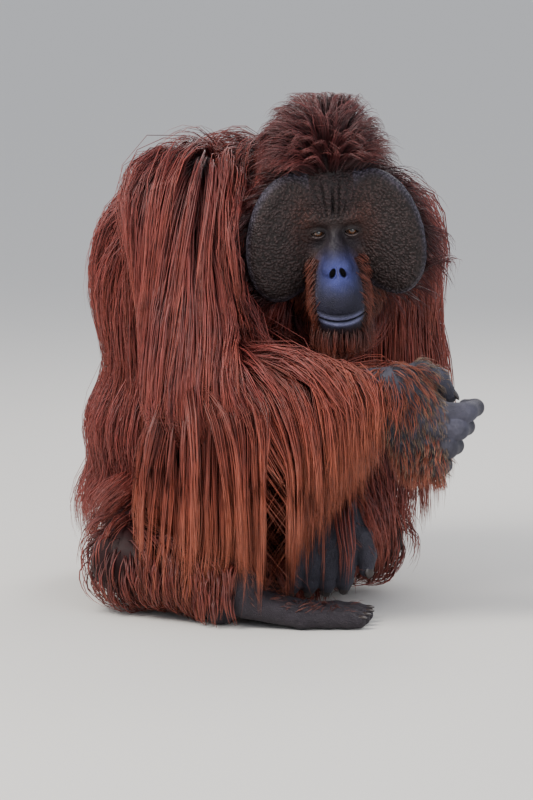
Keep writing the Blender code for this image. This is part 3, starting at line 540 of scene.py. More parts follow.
def set_values(mesh, name, kind, values):
    """Stores a value or a colour for each point."""
    layer = mesh.attributes.new(name, kind, "POINT")
    key = "color" if kind == "FLOAT_COLOR" else "vector" if kind == "FLOAT_VECTOR" else "value"
    layer.data.foreach_set(key, np.ascontiguousarray(values, dtype=np.float32).ravel())


def with_alpha(colours):
    return np.concatenate((colours, np.ones((len(colours), 1))), axis=1)


def triangle_mesh(name, points, triangles):
    """A smooth mesh from arrays of points and of triangles."""
    mesh = bpy.data.meshes.new(name)
    mesh.vertices.add(len(points))
    mesh.vertices.foreach_set("co", np.ascontiguousarray(points, dtype=np.float32).ravel())
    mesh.loops.add(triangles.size)
    mesh.loops.foreach_set("vertex_index", triangles.astype(np.int32).ravel())
    mesh.polygons.add(len(triangles))
    mesh.polygons.foreach_set("loop_start", np.arange(0, triangles.size, 3, dtype=np.int32))
    mesh.polygons.foreach_set("use_smooth", np.ones(len(triangles), dtype=bool))
    mesh.update(calc_edges=True)
    mesh.validate()
    return mesh


def linear(hex_code):
    """An sRGB hex colour, made linear."""
    parts = np.array([int(hex_code[i:i + 2], 16) / 255 for i in (1, 3, 5)])
    return np.where(parts <= 0.04045, parts / 12.92, ((parts + 0.055) / 1.055) ** 2.4)


def shade(hex_code):
    return (*linear(hex_code), 1.0)


def add_node(tree, kind, inputs=None, **settings):
    """Adds a node; each input is a value, or the output socket of another node."""
    node = tree.nodes.new(kind)
    for name, value in settings.items():
        setattr(node, name, value)
    for key, value in (inputs or {}).items():
        if isinstance(value, bpy.types.NodeSocket):
            tree.links.new(value, node.inputs[key])
        else:
            node.inputs[key].default_value = value
    return node


def blank_material(name):
    """A new material, its tree and its one shader."""
    made = bpy.data.materials.new(name)
    made.use_nodes = True
    tree = made.node_tree
    tree.nodes.clear()
    shader = add_node(tree, "ShaderNodeBsdfPrincipled")
    add_node(tree, "ShaderNodeOutputMaterial", {"Surface": shader.outputs["BSDF"]})
    return made, tree, shader


def set_ramp(node, stops):
    """Fills a colour ramp with places and grey levels or colours."""
    ramp = node.color_ramp
    while len(ramp.elements) > len(stops):
        ramp.elements.remove(ramp.elements[-1])
    while len(ramp.elements) < len(stops):
        ramp.elements.new(1.0)
    for element, (place, colour) in zip(ramp.elements, stops):
        element.position = place
        element.color = colour if isinstance(colour, tuple) else (colour, colour, colour, 1)
    return node


def skin_material():
    """Thick, dry, bare hide: dull, pebbled on the cheek pads, creased on hands, feet and muzzle."""
    made, tree, shader = blank_material("bare_blue_grey_skin")
    place = add_node(tree, "ShaderNodeTexCoord").outputs["Object"]
    tint = add_node(tree, "ShaderNodeAttribute", attribute_name="tint").outputs["Color"]
    pebbled = add_node(tree, "ShaderNodeAttribute", attribute_name="pebbled").outputs["Fac"]
    creased = add_node(tree, "ShaderNodeAttribute", attribute_name="creased").outputs["Fac"]
    # Pebbles about 4 mm apart, each a low dome with a groove round it, where shade is painted dark.
    warp = add_node(tree, "ShaderNodeTexNoise", {"Vector": place, "Scale": 90.0, "Detail": 2.0})
    bent = add_node(tree, "ShaderNodeVectorMath", {0: warp.outputs["Color"], 1: (0.0024, 0.0024, 0.0024)},
                    operation="MULTIPLY")
    warped = add_node(tree, "ShaderNodeVectorMath", {0: place, 1: bent.outputs[0]}, operation="ADD")
    pebbles = add_node(tree, "ShaderNodeTexVoronoi", {"Vector": warped.outputs[0], "Scale": 245.0},
                       feature="SMOOTH_F1")
    domes = set_ramp(add_node(tree, "ShaderNodeValToRGB", {"Fac": pebbles.outputs["Distance"]}),
                     ((0.10, 1.0), (0.58, 0.0)))
    dome_height = add_node(tree, "ShaderNodeMath", {0: domes.outputs["Color"], 1: pebbled},
                           operation="MULTIPLY")
    # Creases about 3 mm apart, where the skin folds most.
    fine = add_node(tree, "ShaderNodeTexVoronoi", {"Vector": warped.outputs[0], "Scale": 330.0},
                    feature="DISTANCE_TO_EDGE")
    grooves = set_ramp(add_node(tree, "ShaderNodeValToRGB", {"Fac": fine.outputs["Distance"]}),
                       ((0.0, 0.0), (0.22, 1.0)))
    crease_height = add_node(tree, "ShaderNodeMath", {0: grooves.outputs["Color"], 1: creased},
                             operation="MULTIPLY")
    small = add_node(tree, "ShaderNodeMath", {0: crease_height.outputs[0], 1: 0.7}, operation="MULTIPLY")
    height = add_node(tree, "ShaderNodeMath", {0: dome_height.outputs[0], 1: small.outputs[0]},
                      operation="ADD")
    bump = add_node(tree, "ShaderNodeBump", {"Height": height.outputs[0], "Strength": 1.0,
                                             "Distance": 0.0020})
    tree.links.new(bump.outputs["Normal"], shader.inputs["Normal"])
    # Blotches a centimetre or two across, then painted shade in the grooves between the pebbles
    # and a painted highlight on their tops.
    blotch = add_node(tree, "ShaderNodeTexNoise", {"Vector": place, "Scale": 60.0, "Detail": 5.0,
                                                   "Roughness": 0.65})
    blotched = set_ramp(add_node(tree, "ShaderNodeValToRGB", {"Fac": blotch.outputs["Fac"]}),
                        ((0.30, 0.62), (0.70, 1.0)))
    mottled = add_node(tree, "ShaderNodeMix", {0: 1.0, 6: tint, 7: blotched.outputs["Color"]},
                       data_type="RGBA", blend_type="MULTIPLY")
    # Painted shade and highlight: pebble grooves made darker and pebble tops lighter than the skin's own
    # colour.
    depth = add_node(tree, "ShaderNodeMapRange", {"Value": domes.outputs["Color"], "To Min": 0.32,
                                                  "To Max": 1.35})
    pebble_shade_and_highlight = add_node(tree, "ShaderNodeMix", {0: pebbled, 6: (1, 1, 1, 1), 7: depth.outputs[0]},
                       data_type="RGBA")
    final = add_node(tree, "ShaderNodeMix", {0: 1.0, 6: mottled.outputs[2], 7: pebble_shade_and_highlight.outputs[2]},
                     data_type="RGBA", blend_type="MULTIPLY")
    tree.links.new(final.outputs[2], shader.inputs["Base Color"])
    rough = add_node(tree, "ShaderNodeMapRange", {"Value": blotch.outputs["Fac"], "To Min": 0.46,
                                                  "To Max": 0.68})
    tree.links.new(rough.outputs[0], shader.inputs["Roughness"])
    shader.inputs["IOR"].default_value = 1.40
    shader.inputs["Specular IOR Level"].default_value = 0.35
    return made


def hair_material():
    """Long, coarse keratin hair: red-brown, drier towards its tips, with a soft gloss; its tint is darker
    at the root as painted shade, and paler at the tip, partly its own colour and partly painted highlight.
    """
    made, tree, shader = blank_material("long_red_hair")
    tint = add_node(tree, "ShaderNodeAttribute", attribute_name="tint").outputs["Color"]
    place = add_node(tree, "ShaderNodeTexCoord").outputs["Object"]
    streak = add_node(tree, "ShaderNodeTexNoise", {"Vector": place, "Scale": 38.0, "Detail": 3.0})
    faded = set_ramp(add_node(tree, "ShaderNodeValToRGB", {"Fac": streak.outputs["Fac"]}),
                     ((0.32, (0.80, 0.76, 0.74, 1)), (0.68, (1.12, 1.08, 1.05, 1))))
    final = add_node(tree, "ShaderNodeMix", {0: 1.0, 6: tint, 7: faded.outputs["Color"]},
                     data_type="RGBA", blend_type="MULTIPLY")
    tree.links.new(final.outputs[2], shader.inputs["Base Color"])
    rough = add_node(tree, "ShaderNodeMapRange", {"Value": streak.outputs["Fac"], "To Min": 0.38,
                                                  "To Max": 0.55})
    tree.links.new(rough.outputs[0], shader.inputs["Roughness"])
    shader.inputs["IOR"].default_value = 1.55
    return made


def eye_material():
    """A wet eye: brown-amber iris with fine spokes, black pupil, dark rim and brown-stained white."""
    made, tree, shader = blank_material("wet_amber_eye")
    away = add_node(tree, "ShaderNodeAttribute", attribute_name="from_pupil").outputs["Fac"]
    turn = add_node(tree, "ShaderNodeAttribute", attribute_name="spoke").outputs["Vector"]
    bands = set_ramp(add_node(tree, "ShaderNodeValToRGB", {"Fac": away}), (
        (0.00, shade("#050303")), (0.125, shade("#070404")), (0.150, shade("#2E1A0E")),
        (0.245, shade("#5E3C24")), (0.325, shade("#341A0E")), (0.36, shade("#140A07")),
        (0.46, shade("#5A463C")), (0.75, shade("#3A2620"))))
    spokes = add_node(tree, "ShaderNodeTexNoise", {"Vector": turn, "Scale": 9.0, "Detail": 3.0})
    lit = add_node(tree, "ShaderNodeMapRange", {"Value": spokes.outputs["Fac"], "From Min": 0.3,
                                                "From Max": 0.7, "To Min": 0.62, "To Max": 1.35})
    final = add_node(tree, "ShaderNodeMix", {0: 1.0, 6: bands.outputs["Color"], 7: lit.outputs[0]},
                     data_type="RGBA", blend_type="MULTIPLY")
    tree.links.new(final.outputs[2], shader.inputs["Base Color"])
    shader.inputs["Roughness"].default_value = 0.16
    shader.inputs["Coat Weight"].default_value = 1.0
    shader.inputs["Coat Roughness"].default_value = 0.03
    shader.inputs["IOR"].default_value = 1.38
    return made


def nail_material():
    """Horn: dark, ridged lengthwise by wear, with a dull gloss."""
    made, tree, shader = blank_material("dark_horn_nail")
    place = add_node(tree, "ShaderNodeTexCoord").outputs["Object"]
    ridges = add_node(tree, "ShaderNodeTexNoise", {"Vector": place, "Scale": 420.0, "Detail": 2.0})
    colour = set_ramp(add_node(tree, "ShaderNodeValToRGB", {"Fac": ridges.outputs["Fac"]}),
                      ((0.3, shade("#1B1615")), (0.7, shade("#3B302C"))))
    tree.links.new(colour.outputs["Color"], shader.inputs["Base Color"])
    bump = add_node(tree, "ShaderNodeBump", {"Height": ridges.outputs["Fac"], "Strength": 0.3,
                                             "Distance": 0.0003})
    tree.links.new(bump.outputs["Normal"], shader.inputs["Normal"])
    shader.inputs["Roughness"].default_value = 0.36
    shader.inputs["IOR"].default_value = 1.54
    return made


# The skin: balls over the forms, remeshed and drawn on to the body's field, finer on the face and hands.

SKIN_PITCH = 0.0042
BODY_TRIANGLES = 30000


def stand_in_mesh():
    """One closed ball for each spot of each form."""
    work = bmesh.new()
    bmesh.ops.create_icosphere(work, subdivisions=2, radius=1.03)
    pattern = np.array([v.co[:] for v in work.verts])
    pattern_faces = np.array([[v.index for v in f.verts] for f in work.faces])
    work.free()
    points, faces = [], []
    for forms in list(COATED.values()) + list(BARE.values()):
        for form in forms:
            for centre, radii in form["spots"]:
                faces.append(pattern_faces + len(points) * len(pattern))
                points.append(centre + (pattern * radii) @ form["turn"])
    return triangle_mesh("skin", np.concatenate(points), np.concatenate(faces))


def draw_to_body(mesh, rounds, chosen=None):
    """Moves points along the field's slope on to the skin."""
    points = points_of(mesh)
    chosen = np.arange(len(points)) if chosen is None else chosen
    moving = points[chosen]
    for _ in range(rounds):
        away, steep, gap = slope_of(body_distance, moving)
        moving = moving - away * np.clip(gap / np.maximum(steep, 0.4), -0.006, 0.006)[:, None]
    points[chosen] = moving
    move_points(mesh, points)


def face_zone(local, wide, low, high, back):
    """Where points in head centimetres are within a box about the face."""
    return (np.abs(local[:, 0]) < wide) & (local[:, 1] > low) & (local[:, 1] < high) & (local[:, 2] > back)


def fine_zone(points):
    """The face, hands and feet, whose skin shows."""
    local = head_local(points)
    face = face_zone(local, 19, -21.5, 12.5, -9.0)
    near_hand = (points[:, 0] > 0.29) & (points[:, 1] < -0.33) & (points[:, 2] > 0.22) & (points[:, 2] < 0.48)
    low_hand = np.linalg.norm(points - np.array((0.20, -0.30, 0.11)), axis=1) < 0.11
    feet = (points[:, 2] < 0.085) & (points[:, 1] < -0.19) & (points[:, 0] > -0.10) & (points[:, 0] < 0.27)
    return face | near_hand | low_hand | feet


def refine(mesh, chosen):
    """Splits the chosen faces into four."""
    work = bmesh.new()
    work.from_mesh(mesh)
    work.faces.ensure_lookup_table()
    edges = {edge for i in np.flatnonzero(chosen) for edge in work.faces[i].edges}
    bmesh.ops.subdivide_edges(work, edges=list(edges), cuts=1, use_grid_fill=True)
    work.to_mesh(mesh)
    work.free()


def face_centres(mesh):
    centres = np.empty(len(mesh.polygons) * 3)
    mesh.polygons.foreach_get("center", centres)
    return centres.reshape(-1, 3)


def points_in(mesh, zone):
    return np.flatnonzero(zone(points_of(mesh)))


def front_zone(points):
    """The front of the face, out to the rims of the cheek pads."""
    return face_zone(head_local(points), 17.5, -20.5, 11.5, -5.0)


def right_hand_zone(points):
    return (points[:, 0] > 0.30) & (points[:, 1] < -0.33) & (points[:, 2] > 0.22) & (points[:, 2] < 0.47)


def feature_zone(points):
    """Eyes, nose and lips."""
    local = head_local(points)
    eyes = face_zone(local, 6.0, -4.2, 2.4, -2.5)
    nose = face_zone(local, 3.2, -8.6, 0.0, 1.0)
    lips = face_zone(local, 6.0, -17.2, -12.0, 0.0)
    brow = face_zone(local, 2.2, 2.0, 9.5, -4.0)
    return eyes | nose | lips | brow


def eye_zone(points):
    """The lids of both eyes."""
    across, up, ahead = np.abs(head_local(points)).T[0] - EYE_SPOT[0], *head_local(points).T[1:]
    return (np.abs(across) < 1.75) & (np.abs(up - EYE_SPOT[1]) < 1.1) & (ahead > -1.2)


ALMOND = (1.26, 0.54)


def lid_opening(across, up):
    """How far inside the almond between the lids a place is, in centimetres, negative outside."""
    half = ALMOND[1] * np.clip(1 - (across / ALMOND[0]) ** 2, 0, None) ** 0.75
    return np.where(np.abs(across) < ALMOND[0], half - np.abs(up), -1.0)


def rim_ring(local):
    """Nought at a cheek pad's middle and one at its rim."""
    out, up = np.abs(local[:, 0]) - FLANGE_MIDDLE[0], local[:, 1] - FLANGE_MIDDLE[1]
    lean = math.radians(FLANGE_LEAN)
    across = out * math.cos(lean) - up * math.sin(lean)
    along = up * math.cos(lean) + out * math.sin(lean)
    return np.hypot(across / FLANGE_RADII[0], along / FLANGE_RADII[1])


def mouth_height(across):
    return MOUTH_MIDDLE + MOUTH_RISE * (across / MOUTH_HALF) ** 2


def eye_relief(across, up, side, ahead):
    """The almond between the lids, their rims, and the folds above and below them."""
    inside = lid_opening(across, up + side * across * 0.05)
    near = hill(across, 2.0) * hill(up, 1.4) * (ahead > -1.5)
    rise = -1.05 * smoothstep(-0.02, 0.10, inside) * (ahead > -1.2) * (inside > -0.5)
    rise += 0.08 * hill(inside + 0.14, 0.10) * (inside > -0.6) * near
    reach = np.hypot(across * 0.62, up)
    for radius, depth in ((0.95, 0.09), (1.45, 0.11), (2.05, 0.09), (2.7, 0.06)):
        rise -= depth * hill(reach - radius, 0.12) * smoothstep(0.15, -0.3, up) * (ahead > -3)
    for radius, depth in ((0.85, 0.07), (1.20, 0.06)):
        rise -= depth * hill(reach - radius, 0.10) * smoothstep(-0.1, 0.3, up) * (ahead > -3)
    return rise


def nostril_shape(across, up, side):
    """Over nought inside a nostril: a comma that slants outwards and down."""
    along = across * side * 0.55 - up * 0.83
    over = across * side * 0.83 + up * 0.55
    return 1 - (along / 1.00) ** 2 - ((over + 0.16 * along) / 0.56) ** 2


CREASES = ((-1.35, 0.50), (1.15, 0.55), (-2.4, 0.34), (2.3, 0.36), (-3.5, 0.26), (3.4, 0.26), (-4.7, 0.16),
           (4.6, 0.16))


def forehead_creases(u, v):
    """One deep crease up the middle of the forehead and a fan of fainter ones beside it."""
    brow = smoothstep(1.6, 3.0, v) * smoothstep(10.0, 8.0, v)
    depth = 1.1 * hill(u - 0.05 * v + 0.2, 0.26) * hill(v - 4.6, 2.6)
    for place, share in CREASES:
        depth = depth + share * hill(u - place * (0.62 + 0.085 * v), 0.19)
    return depth * brow


def face_relief(local):
    """How far each point of the face stands out from the smooth form, in centimetres."""
    u, v, w = local.T
    rise = np.zeros(len(local))
    for side in SIDES.values():
        rise += eye_relief(u - side * EYE_SPOT[0], v - EYE_SPOT[1] + 0.02, side, w)
        comma = nostril_shape(u - side * NOSTRIL_SPOT[0], v - NOSTRIL_SPOT[1], side)
        rise -= 0.85 * smoothstep(0.0, 0.40, comma) * (w > 2)
        rise += 0.14 * hill(comma + 0.55, 0.45) * (w > 3) * hill(v - NOSTRIL_SPOT[1], 1.8)
        # The fold from the nose down beside the lips.
        fold = np.abs(u) - (2.3 + 0.26 * (-5.5 - v))
        rise -= 0.05 * hill(fold, 0.30) * smoothstep(-4.5, -6.5, v) * smoothstep(-13.5, -11.5, v) * (w > -1)
    rise -= 0.16 * hill(u, 0.14) * hill(v - NOSTRIL_SPOT[1] - 0.5, 0.7) * (w > 4)
    # The lips meet in one line; each has a rounded border.
    below = v - mouth_height(u)
    reach = smoothstep(MOUTH_HALF + 0.3, MOUTH_HALF - 1.0, np.abs(u)) * (w > -2.5)
    rise -= 0.66 * hill(below, 0.15) * reach
    rise += 0.20 * hill(below - 0.62, 0.42) * reach
    rise += 0.26 * hill(below + 0.72, 0.48) * reach
    rise -= 0.10 * hill(below - 1.35, 0.25) * reach
    # Fine upright wrinkles on the muzzle.
    muzzle = smoothstep(5.0, 3.4, np.abs(u)) * smoothstep(-7.6, -9.0, v) * (w > 0) * (below > 0.2)
    rise += 0.028 * np.sin(u * 15 + 1.2 * np.sin(v * 0.9)) * muzzle
    rise -= 0.55 * forehead_creases(u, v) * (w > -5)
    # Low rings on the cheek pads that follow their rims.
    ring = rim_ring(local)
    pad = smoothstep(0.35, 0.60, ring) * smoothstep(1.02, 0.92, ring) * smoothstep(2.5, 5, np.abs(u))
    rise += 0.030 * np.sin(ring * 52 + 0.9 * np.sin(v * 0.8) + u * 0.3) * pad
    return rise


def make_skin():
    """The one skin over the whole body."""
    made = new_object("skin", stand_in_mesh())
    voxel = made.modifiers.new("fuse", "REMESH")
    voxel.mode = "VOXEL"
    voxel.voxel_size = SKIN_PITCH
    apply_modifiers(made)
    fine = fine_zone(points_of(made.data))
    group = made.vertex_groups.new(name="coarse")
    group.add(np.flatnonzero(~fine).tolist(), 1.0, "REPLACE")
    group.add(np.flatnonzero(fine).tolist(), 0.0, "REPLACE")
    total = sum(len(p.vertices) - 2 for p in made.data.polygons)
    kept = int(fine.sum() * 2)
    thin = made.modifiers.new("thin", "DECIMATE")
    thin.ratio = (kept + BODY_TRIANGLES) / total
    thin.vertex_group = "coarse"
    thin.vertex_group_factor = 1000
    apply_modifiers(made)
    made.vertex_groups.clear()
    mesh = made.data
    draw_to_body(mesh, 5)
    for zones in ((front_zone, right_hand_zone), (feature_zone,), (eye_zone,)):
        centres = face_centres(mesh)
        chosen = np.any([zone(centres) for zone in zones], axis=0)
        refine(mesh, chosen)
        touched = np.unique(np.concatenate([points_in(mesh, zone) for zone in zones]))
        draw_to_body(mesh, 2, touched)
    points = points_of(mesh)
    local = head_local(points)
    front = np.flatnonzero(face_zone(local, 18, -21, 12, -6))
    facing = smoothstep(0.0, 0.35, normals_of(mesh)[front] @ HEAD_TURN[2])
    points[front] += HEAD_TURN[2] * (face_relief(local[front]) * facing * 0.01)[:, None]
    points[:, 2] = np.maximum(points[:, 2], FLOOR_GAP)
    move_points(mesh, points)
    mesh.polygons.foreach_set("use_smooth", np.ones(len(mesh.polygons), dtype=bool))
    return made


class Places:
    """Spots on the skin: where they are, which way they face and which node they are on."""

    def __init__(self, points, normals, nodes=None):
        self.points, self.normals = points, normals
        self.local = head_local(points)
        self.nodes = node_distances(points).argmin(axis=0) if nodes is None else nodes

    def on(self, *names):
        return np.isin(self.nodes, [NODES.index(name) for name in names])

    def pick(self, chosen):
        return Places(self.points[chosen], self.normals[chosen], self.nodes[chosen])

    def facing(self, direction):
        return self.normals @ np.array(direction)


def laid(colours, hex_code, share):
    """Lays a colour over others, by a share for each point."""
    return colours + (linear(hex_code) - colours) * np.clip(share, 0, 1)[:, None]


def flush_of_blue(local):
    """The blue of the nose and muzzle."""
    u, v, w = local.T
    wide = np.interp(v, (-17, -13, -10, -7, -4.5, -2), (3.6, 4.2, 4.2, 3.8, 2.8, 1.4))
    return smoothstep(1.15, 0.72, np.abs(u) / wide) * smoothstep(-2.2, -5.4, v) * smoothstep(-1.5, 1.0, w)


KNUCKLES = ((0.412, -0.420, 0.366), (0.397, -0.412, 0.378), (0.380, -0.412, 0.347),
            (0.443, -0.442, 0.380), (0.425, -0.440, 0.348), (0.394, -0.373, 0.434))
KNUCKLE_REACH = 0.019
PATCH_START, PATCH_END = 0.20, 0.25


def eye_shares(places):
    """The eye sockets, where shade is painted dark, and the bags below the eyes."""
    across, up = np.abs(places.local[:, 0]) - EYE_SPOT[0], places.local[:, 1] - EYE_SPOT[1]
    return hill(across, 2.9) * hill(up - 0.3, 1.6), hill(across, 2.0) * hill(up + 2.3, 1.2)


def disc_colours(places, face):
    """The pebbled disc: dark, greyer at its rim, browner and creased towards its middle,
    with painted shade in its forehead creases and eye sockets.
    """
    u, v = places.local.T[:2]
    away = np.abs(u)
    rim = smoothstep(0.86, 1.04, rim_ring(places.local)) * (away > 4)
    inner = hill(away - 5.0, 2.8) * hill(v - 1.0, 5.0)
    brow = smoothstep(2.0, 5.0, v) * smoothstep(5.5, 3.0, away)
    socket, bags = eye_shares(places)
    bridge = hill(u, 2.2) * smoothstep(1.0, -1.5, v)
    return [
        ("#3B2F2E", face * smoothstep(10.5, 9.0, v)),
        ("#5A5768", face * rim * 0.6),
        ("#4C2A22", face * inner * 0.7),
        ("#382829", face * brow * 0.7),
        # Painted shade: near black in the forehead creases.
        ("#0E0A0B", face * forehead_creases(u, v) * 0.9),
        # Painted shade: the eye sockets under the brow made nearly black.
        ("#120D0E", face * socket * 0.95),
        ("#2E2A30", face * bags * 0.8),
        ("#28252C", face * bridge * 0.8),
    ]


def muzzle_colours(places, face):
    """The blue nose, the greyer lip below it, the pale lips, painted shade along the line where they meet,
    and the dark chin.
    """
    u, v, w = places.local.T
    away = np.abs(u)
    blue = flush_of_blue(places.local)
    bright = hill(u, 2.5) * hill(v - NOSTRIL_SPOT[1], 2.2) * (w > 1)
    below = v - mouth_height(u)
    lips = hill(below - 0.45, 0.42) + hill(below + 0.62, 0.42)
    # Where shade is painted along the line where the lips meet.
    lip_seam_shade = hill(below, 0.20) * smoothstep(MOUTH_HALF + 0.4, MOUTH_HALF - 0.4, away) * (w > -2)
    return [
        ("#2C2F4C", face * blue * 0.95),
        ("#24222E", face * blue * smoothstep(-8.0, -11.0, v) * 0.85),
        ("#4C529A", face * bright * 0.85),
        ("#8486AC", face * lips * smoothstep(5.0, 2.6, away) * (w > -1) * 0.75),
        # Painted shade: near black in the lips' seam.
        ("#0A0708", face * lip_seam_shade),
        ("#241416", face * smoothstep(-15.9, -17.0, v) * 0.9),
    ]


def opening_colours(places, face, pad):
    """Painted shade inside the lids and the nostrils, their pale edges, and the brown skin under the cheek
    hair.
    """
    u, v, w = places.local.T
    away = np.abs(u)
    eye_u, eye_v = away - EYE_SPOT[0], v - EYE_SPOT[1]
    inside = lid_opening(eye_u, eye_v + 0.02)
    lower_lid = hill(inside + 0.10, 0.07) * (eye_v < 0) * (np.abs(eye_u) < 1.2)
    comma = nostril_shape(away - NOSTRIL_SPOT[0], v - NOSTRIL_SPOT[1], 1)
    septum = hill(u, 0.16) * hill(v - NOSTRIL_SPOT[1] - 0.1, 0.8) * (w > 3)
    cheek = face & ~pad & (flush_of_blue(places.local) < 0.2) & (v < -5.0)
    return [
        # Painted shade: near black in the gap between the lids and the eyeball.
        ("#0C0808", face * smoothstep(0.0, 0.08, inside) * (w > -2)),
        ("#6A5A58", face * lower_lid * 0.8),
        # Painted shade: near black inside the nostrils.
        ("#080506", face * smoothstep(-0.1, 0.3, comma) * (w > 2)),
        ("#7A7C9A", face * septum * 0.7),
        ("#3A1C14", cheek * 0.9),
    ]


def limb_colours(places):
    """Grey hands with paler knuckles, the bare patch above the wrist, dark feet and ears."""
    hands = places.on("hand_right", "hand_left")
    patch = places.on("forearm_right") * smoothstep(PATCH_START, PATCH_END, places.points[:, 0])
    knuckles = np.zeros(len(places.points))
    for spot in KNUCKLES:
        knuckles += hill(np.linalg.norm(places.points - np.array(spot), axis=1), KNUCKLE_REACH)
    return [
        ("#4C4A54", hands | (patch > 0.5)),
        ("#85859C", hands * knuckles * 0.7),
        ("#3C363C", places.on("foot_right", "foot_left")),
        ("#40302E", places.on("ear_right", "ear_left")),
    ]


def paint_skin(mesh):
    """Stores the skin's colours and where it is pebbled or creased."""
    places = Places(points_of(mesh), normals_of(mesh))
    u, v, w = places.local.T
    pad = places.on("cheek_flange_right", "cheek_flange_left")
    face = (pad | places.on("head")) & (w > -7.5) & (v < 10.5) & (v > -17.5)
    colours = np.tile(linear("#26090A"), (len(u), 1))
    layers = disc_colours(places, face) + muzzle_colours(places, face)
    for hex_code, share in layers + opening_colours(places, face, pad) + limb_colours(places):
        colours = laid(colours, hex_code, share)
    set_values(mesh, "tint", "FLOAT_COLOR", with_alpha(colours))
    blue = flush_of_blue(places.local)
    socket, bags = eye_shares(places)
    rough = 0.25 + 0.75 * smoothstep(2.5, 5.5, np.hypot(np.abs(u) * 0.8, v + 3))
    set_values(mesh, "pebbled", "FLOAT", face * rough * (1 - blue) * (1 - 0.85 * socket))
    bare = places.on("hand_right", "hand_left", "foot_right", "foot_left")
    set_values(mesh, "creased", "FLOAT", np.clip(bare + blue * 0.35 + bags * face * 0.6, 0, 1))


# Eyes and nails.

GAZE = Vector((0.05, -1.0, 0.10)).normalized()


def make_eye(side, material):
    """An eyeball with its cornea standing proud, turned to the viewer."""
    centre = eye_centre(side)
    aside = GAZE.cross(UPWARD).normalized()
    above = aside.cross(GAZE)
    segments, rings = 64, 48
    angles = np.linspace(0, math.pi, rings + 1)[1:-1]
    turns = np.linspace(0, 2 * math.pi, segments, endpoint=False)
    polar, turn = [grid.ravel() for grid in np.meshgrid(angles, turns, indexing="ij")]
    polar = np.concatenate((polar, (0.0, math.pi)))
    turn = np.concatenate((turn, (0.0, 0.0)))
    radius = EYE_RADIUS * (0.985 + 0.055 * smoothstep(0.62, 0.25, polar))
    spokes = np.stack((np.cos(turn), np.sin(turn), polar * 0.4), axis=1)
    ahead = np.outer(np.cos(polar), np.array(GAZE))
    sideways = np.outer(np.sin(polar) * np.cos(turn), np.array(aside))
    upwards = np.outer(np.sin(polar) * np.sin(turn), np.array(above))
    points = np.array(centre) + (ahead + sideways + upwards) * radius[:, None]
    triangles = []
    rows = len(angles)
    front, back = len(points) - 2, len(points) - 1
    for j in range(segments):
        k = (j + 1) % segments
        triangles.append((front, k, j))
        for i in range(rows - 1):
            a, b = i * segments, (i + 1) * segments
            triangles += [(a + j, a + k, b + k), (a + j, b + k, b + j)]
        triangles.append((back, (rows - 1) * segments + j, (rows - 1) * segments + k))
    triangles = np.array(triangles)
    spot = points[triangles[:, 0]] - np.array(centre)
    normal = np.cross(points[triangles[:, 1]] - points[triangles[:, 0]],
                      points[triangles[:, 2]] - points[triangles[:, 0]])
    if np.einsum("ij,ij->i", spot, normal).sum() < 0:
        triangles = triangles[:, ::-1]
    mesh = triangle_mesh("eyeball_" + side, points, triangles)
    set_values(mesh, "from_pupil", "FLOAT", np.sin(np.minimum(polar, math.pi / 2)) * 0.55)
    set_values(mesh, "spoke", "FLOAT_VECTOR", spokes)
    mesh.materials.append(material)
    return new_object("eyeball_" + side, mesh)


def nail_tree(material):
    """Sets a low, long dome on each point, turned and sized by the point's own values."""
    tree = bpy.data.node_groups.new("nails_on_tips", "GeometryNodeTree")
    sockets = tree.interface
    sockets.new_socket("Tips", in_out="INPUT", socket_type="NodeSocketGeometry")
    sizes = (("Length", 0.95), ("Width", 0.72), ("Thickness", 0.26), ("Wear", 0.08))
    for name, value in sizes:
        socket = sockets.new_socket(name, in_out="INPUT", socket_type="NodeSocketFloat")
        socket.default_value = value
    sockets.new_socket("Nails", in_out="OUTPUT", socket_type="NodeSocketGeometry")
    entry = add_node(tree, "NodeGroupInput")
    dome = add_node(tree, "GeometryNodeMeshUVSphere", {"Segments": 20, "Rings": 12, "Radius": 1.0})
    size = add_node(tree, "ShaderNodeCombineXYZ", {
        "X": entry.outputs["Width"], "Y": entry.outputs["Length"], "Z": entry.outputs["Thickness"]})
    shaped = add_node(tree, "GeometryNodeTransform", {"Geometry": dome.outputs["Mesh"],
                                                      "Scale": size.outputs["Vector"]})
    turn = add_node(tree, "GeometryNodeInputNamedAttribute", {"Name": "nail_turn"}, data_type="FLOAT_VECTOR")
    reach = add_node(tree, "GeometryNodeInputNamedAttribute", {"Name": "nail_size"}, data_type="FLOAT")
    least = add_node(tree, "ShaderNodeMath", {0: 1.0, 1: entry.outputs["Wear"]}, operation="SUBTRACT")
    worn = add_node(tree, "FunctionNodeRandomValue", {"Min": least.outputs[0], "Max": 1.0, "Seed": SEED},
                    data_type="FLOAT")
    scaled = add_node(tree, "ShaderNodeMath", {0: reach.outputs["Attribute"], 1: worn.outputs[1]},
                      operation="MULTIPLY")
    spin = add_node(tree, "FunctionNodeEulerToRotation", {"Euler": turn.outputs["Attribute"]})
    placed = add_node(tree, "GeometryNodeInstanceOnPoints", {
        "Points": entry.outputs["Tips"], "Instance": shaped.outputs["Geometry"],
        "Rotation": spin.outputs["Rotation"], "Scale": scaled.outputs[0]})
    real = add_node(tree, "GeometryNodeRealizeInstances", {"Geometry": placed.outputs["Instances"]})
    smooth = add_node(tree, "GeometryNodeSetShadeSmooth", {"Geometry": real.outputs["Geometry"]})
    dressed = add_node(tree, "GeometryNodeSetMaterial", {"Geometry": smooth.outputs["Geometry"],
                                                         "Material": material})
    add_node(tree, "NodeGroupOutput", {"Nails": dressed.outputs["Geometry"]})
    return tree


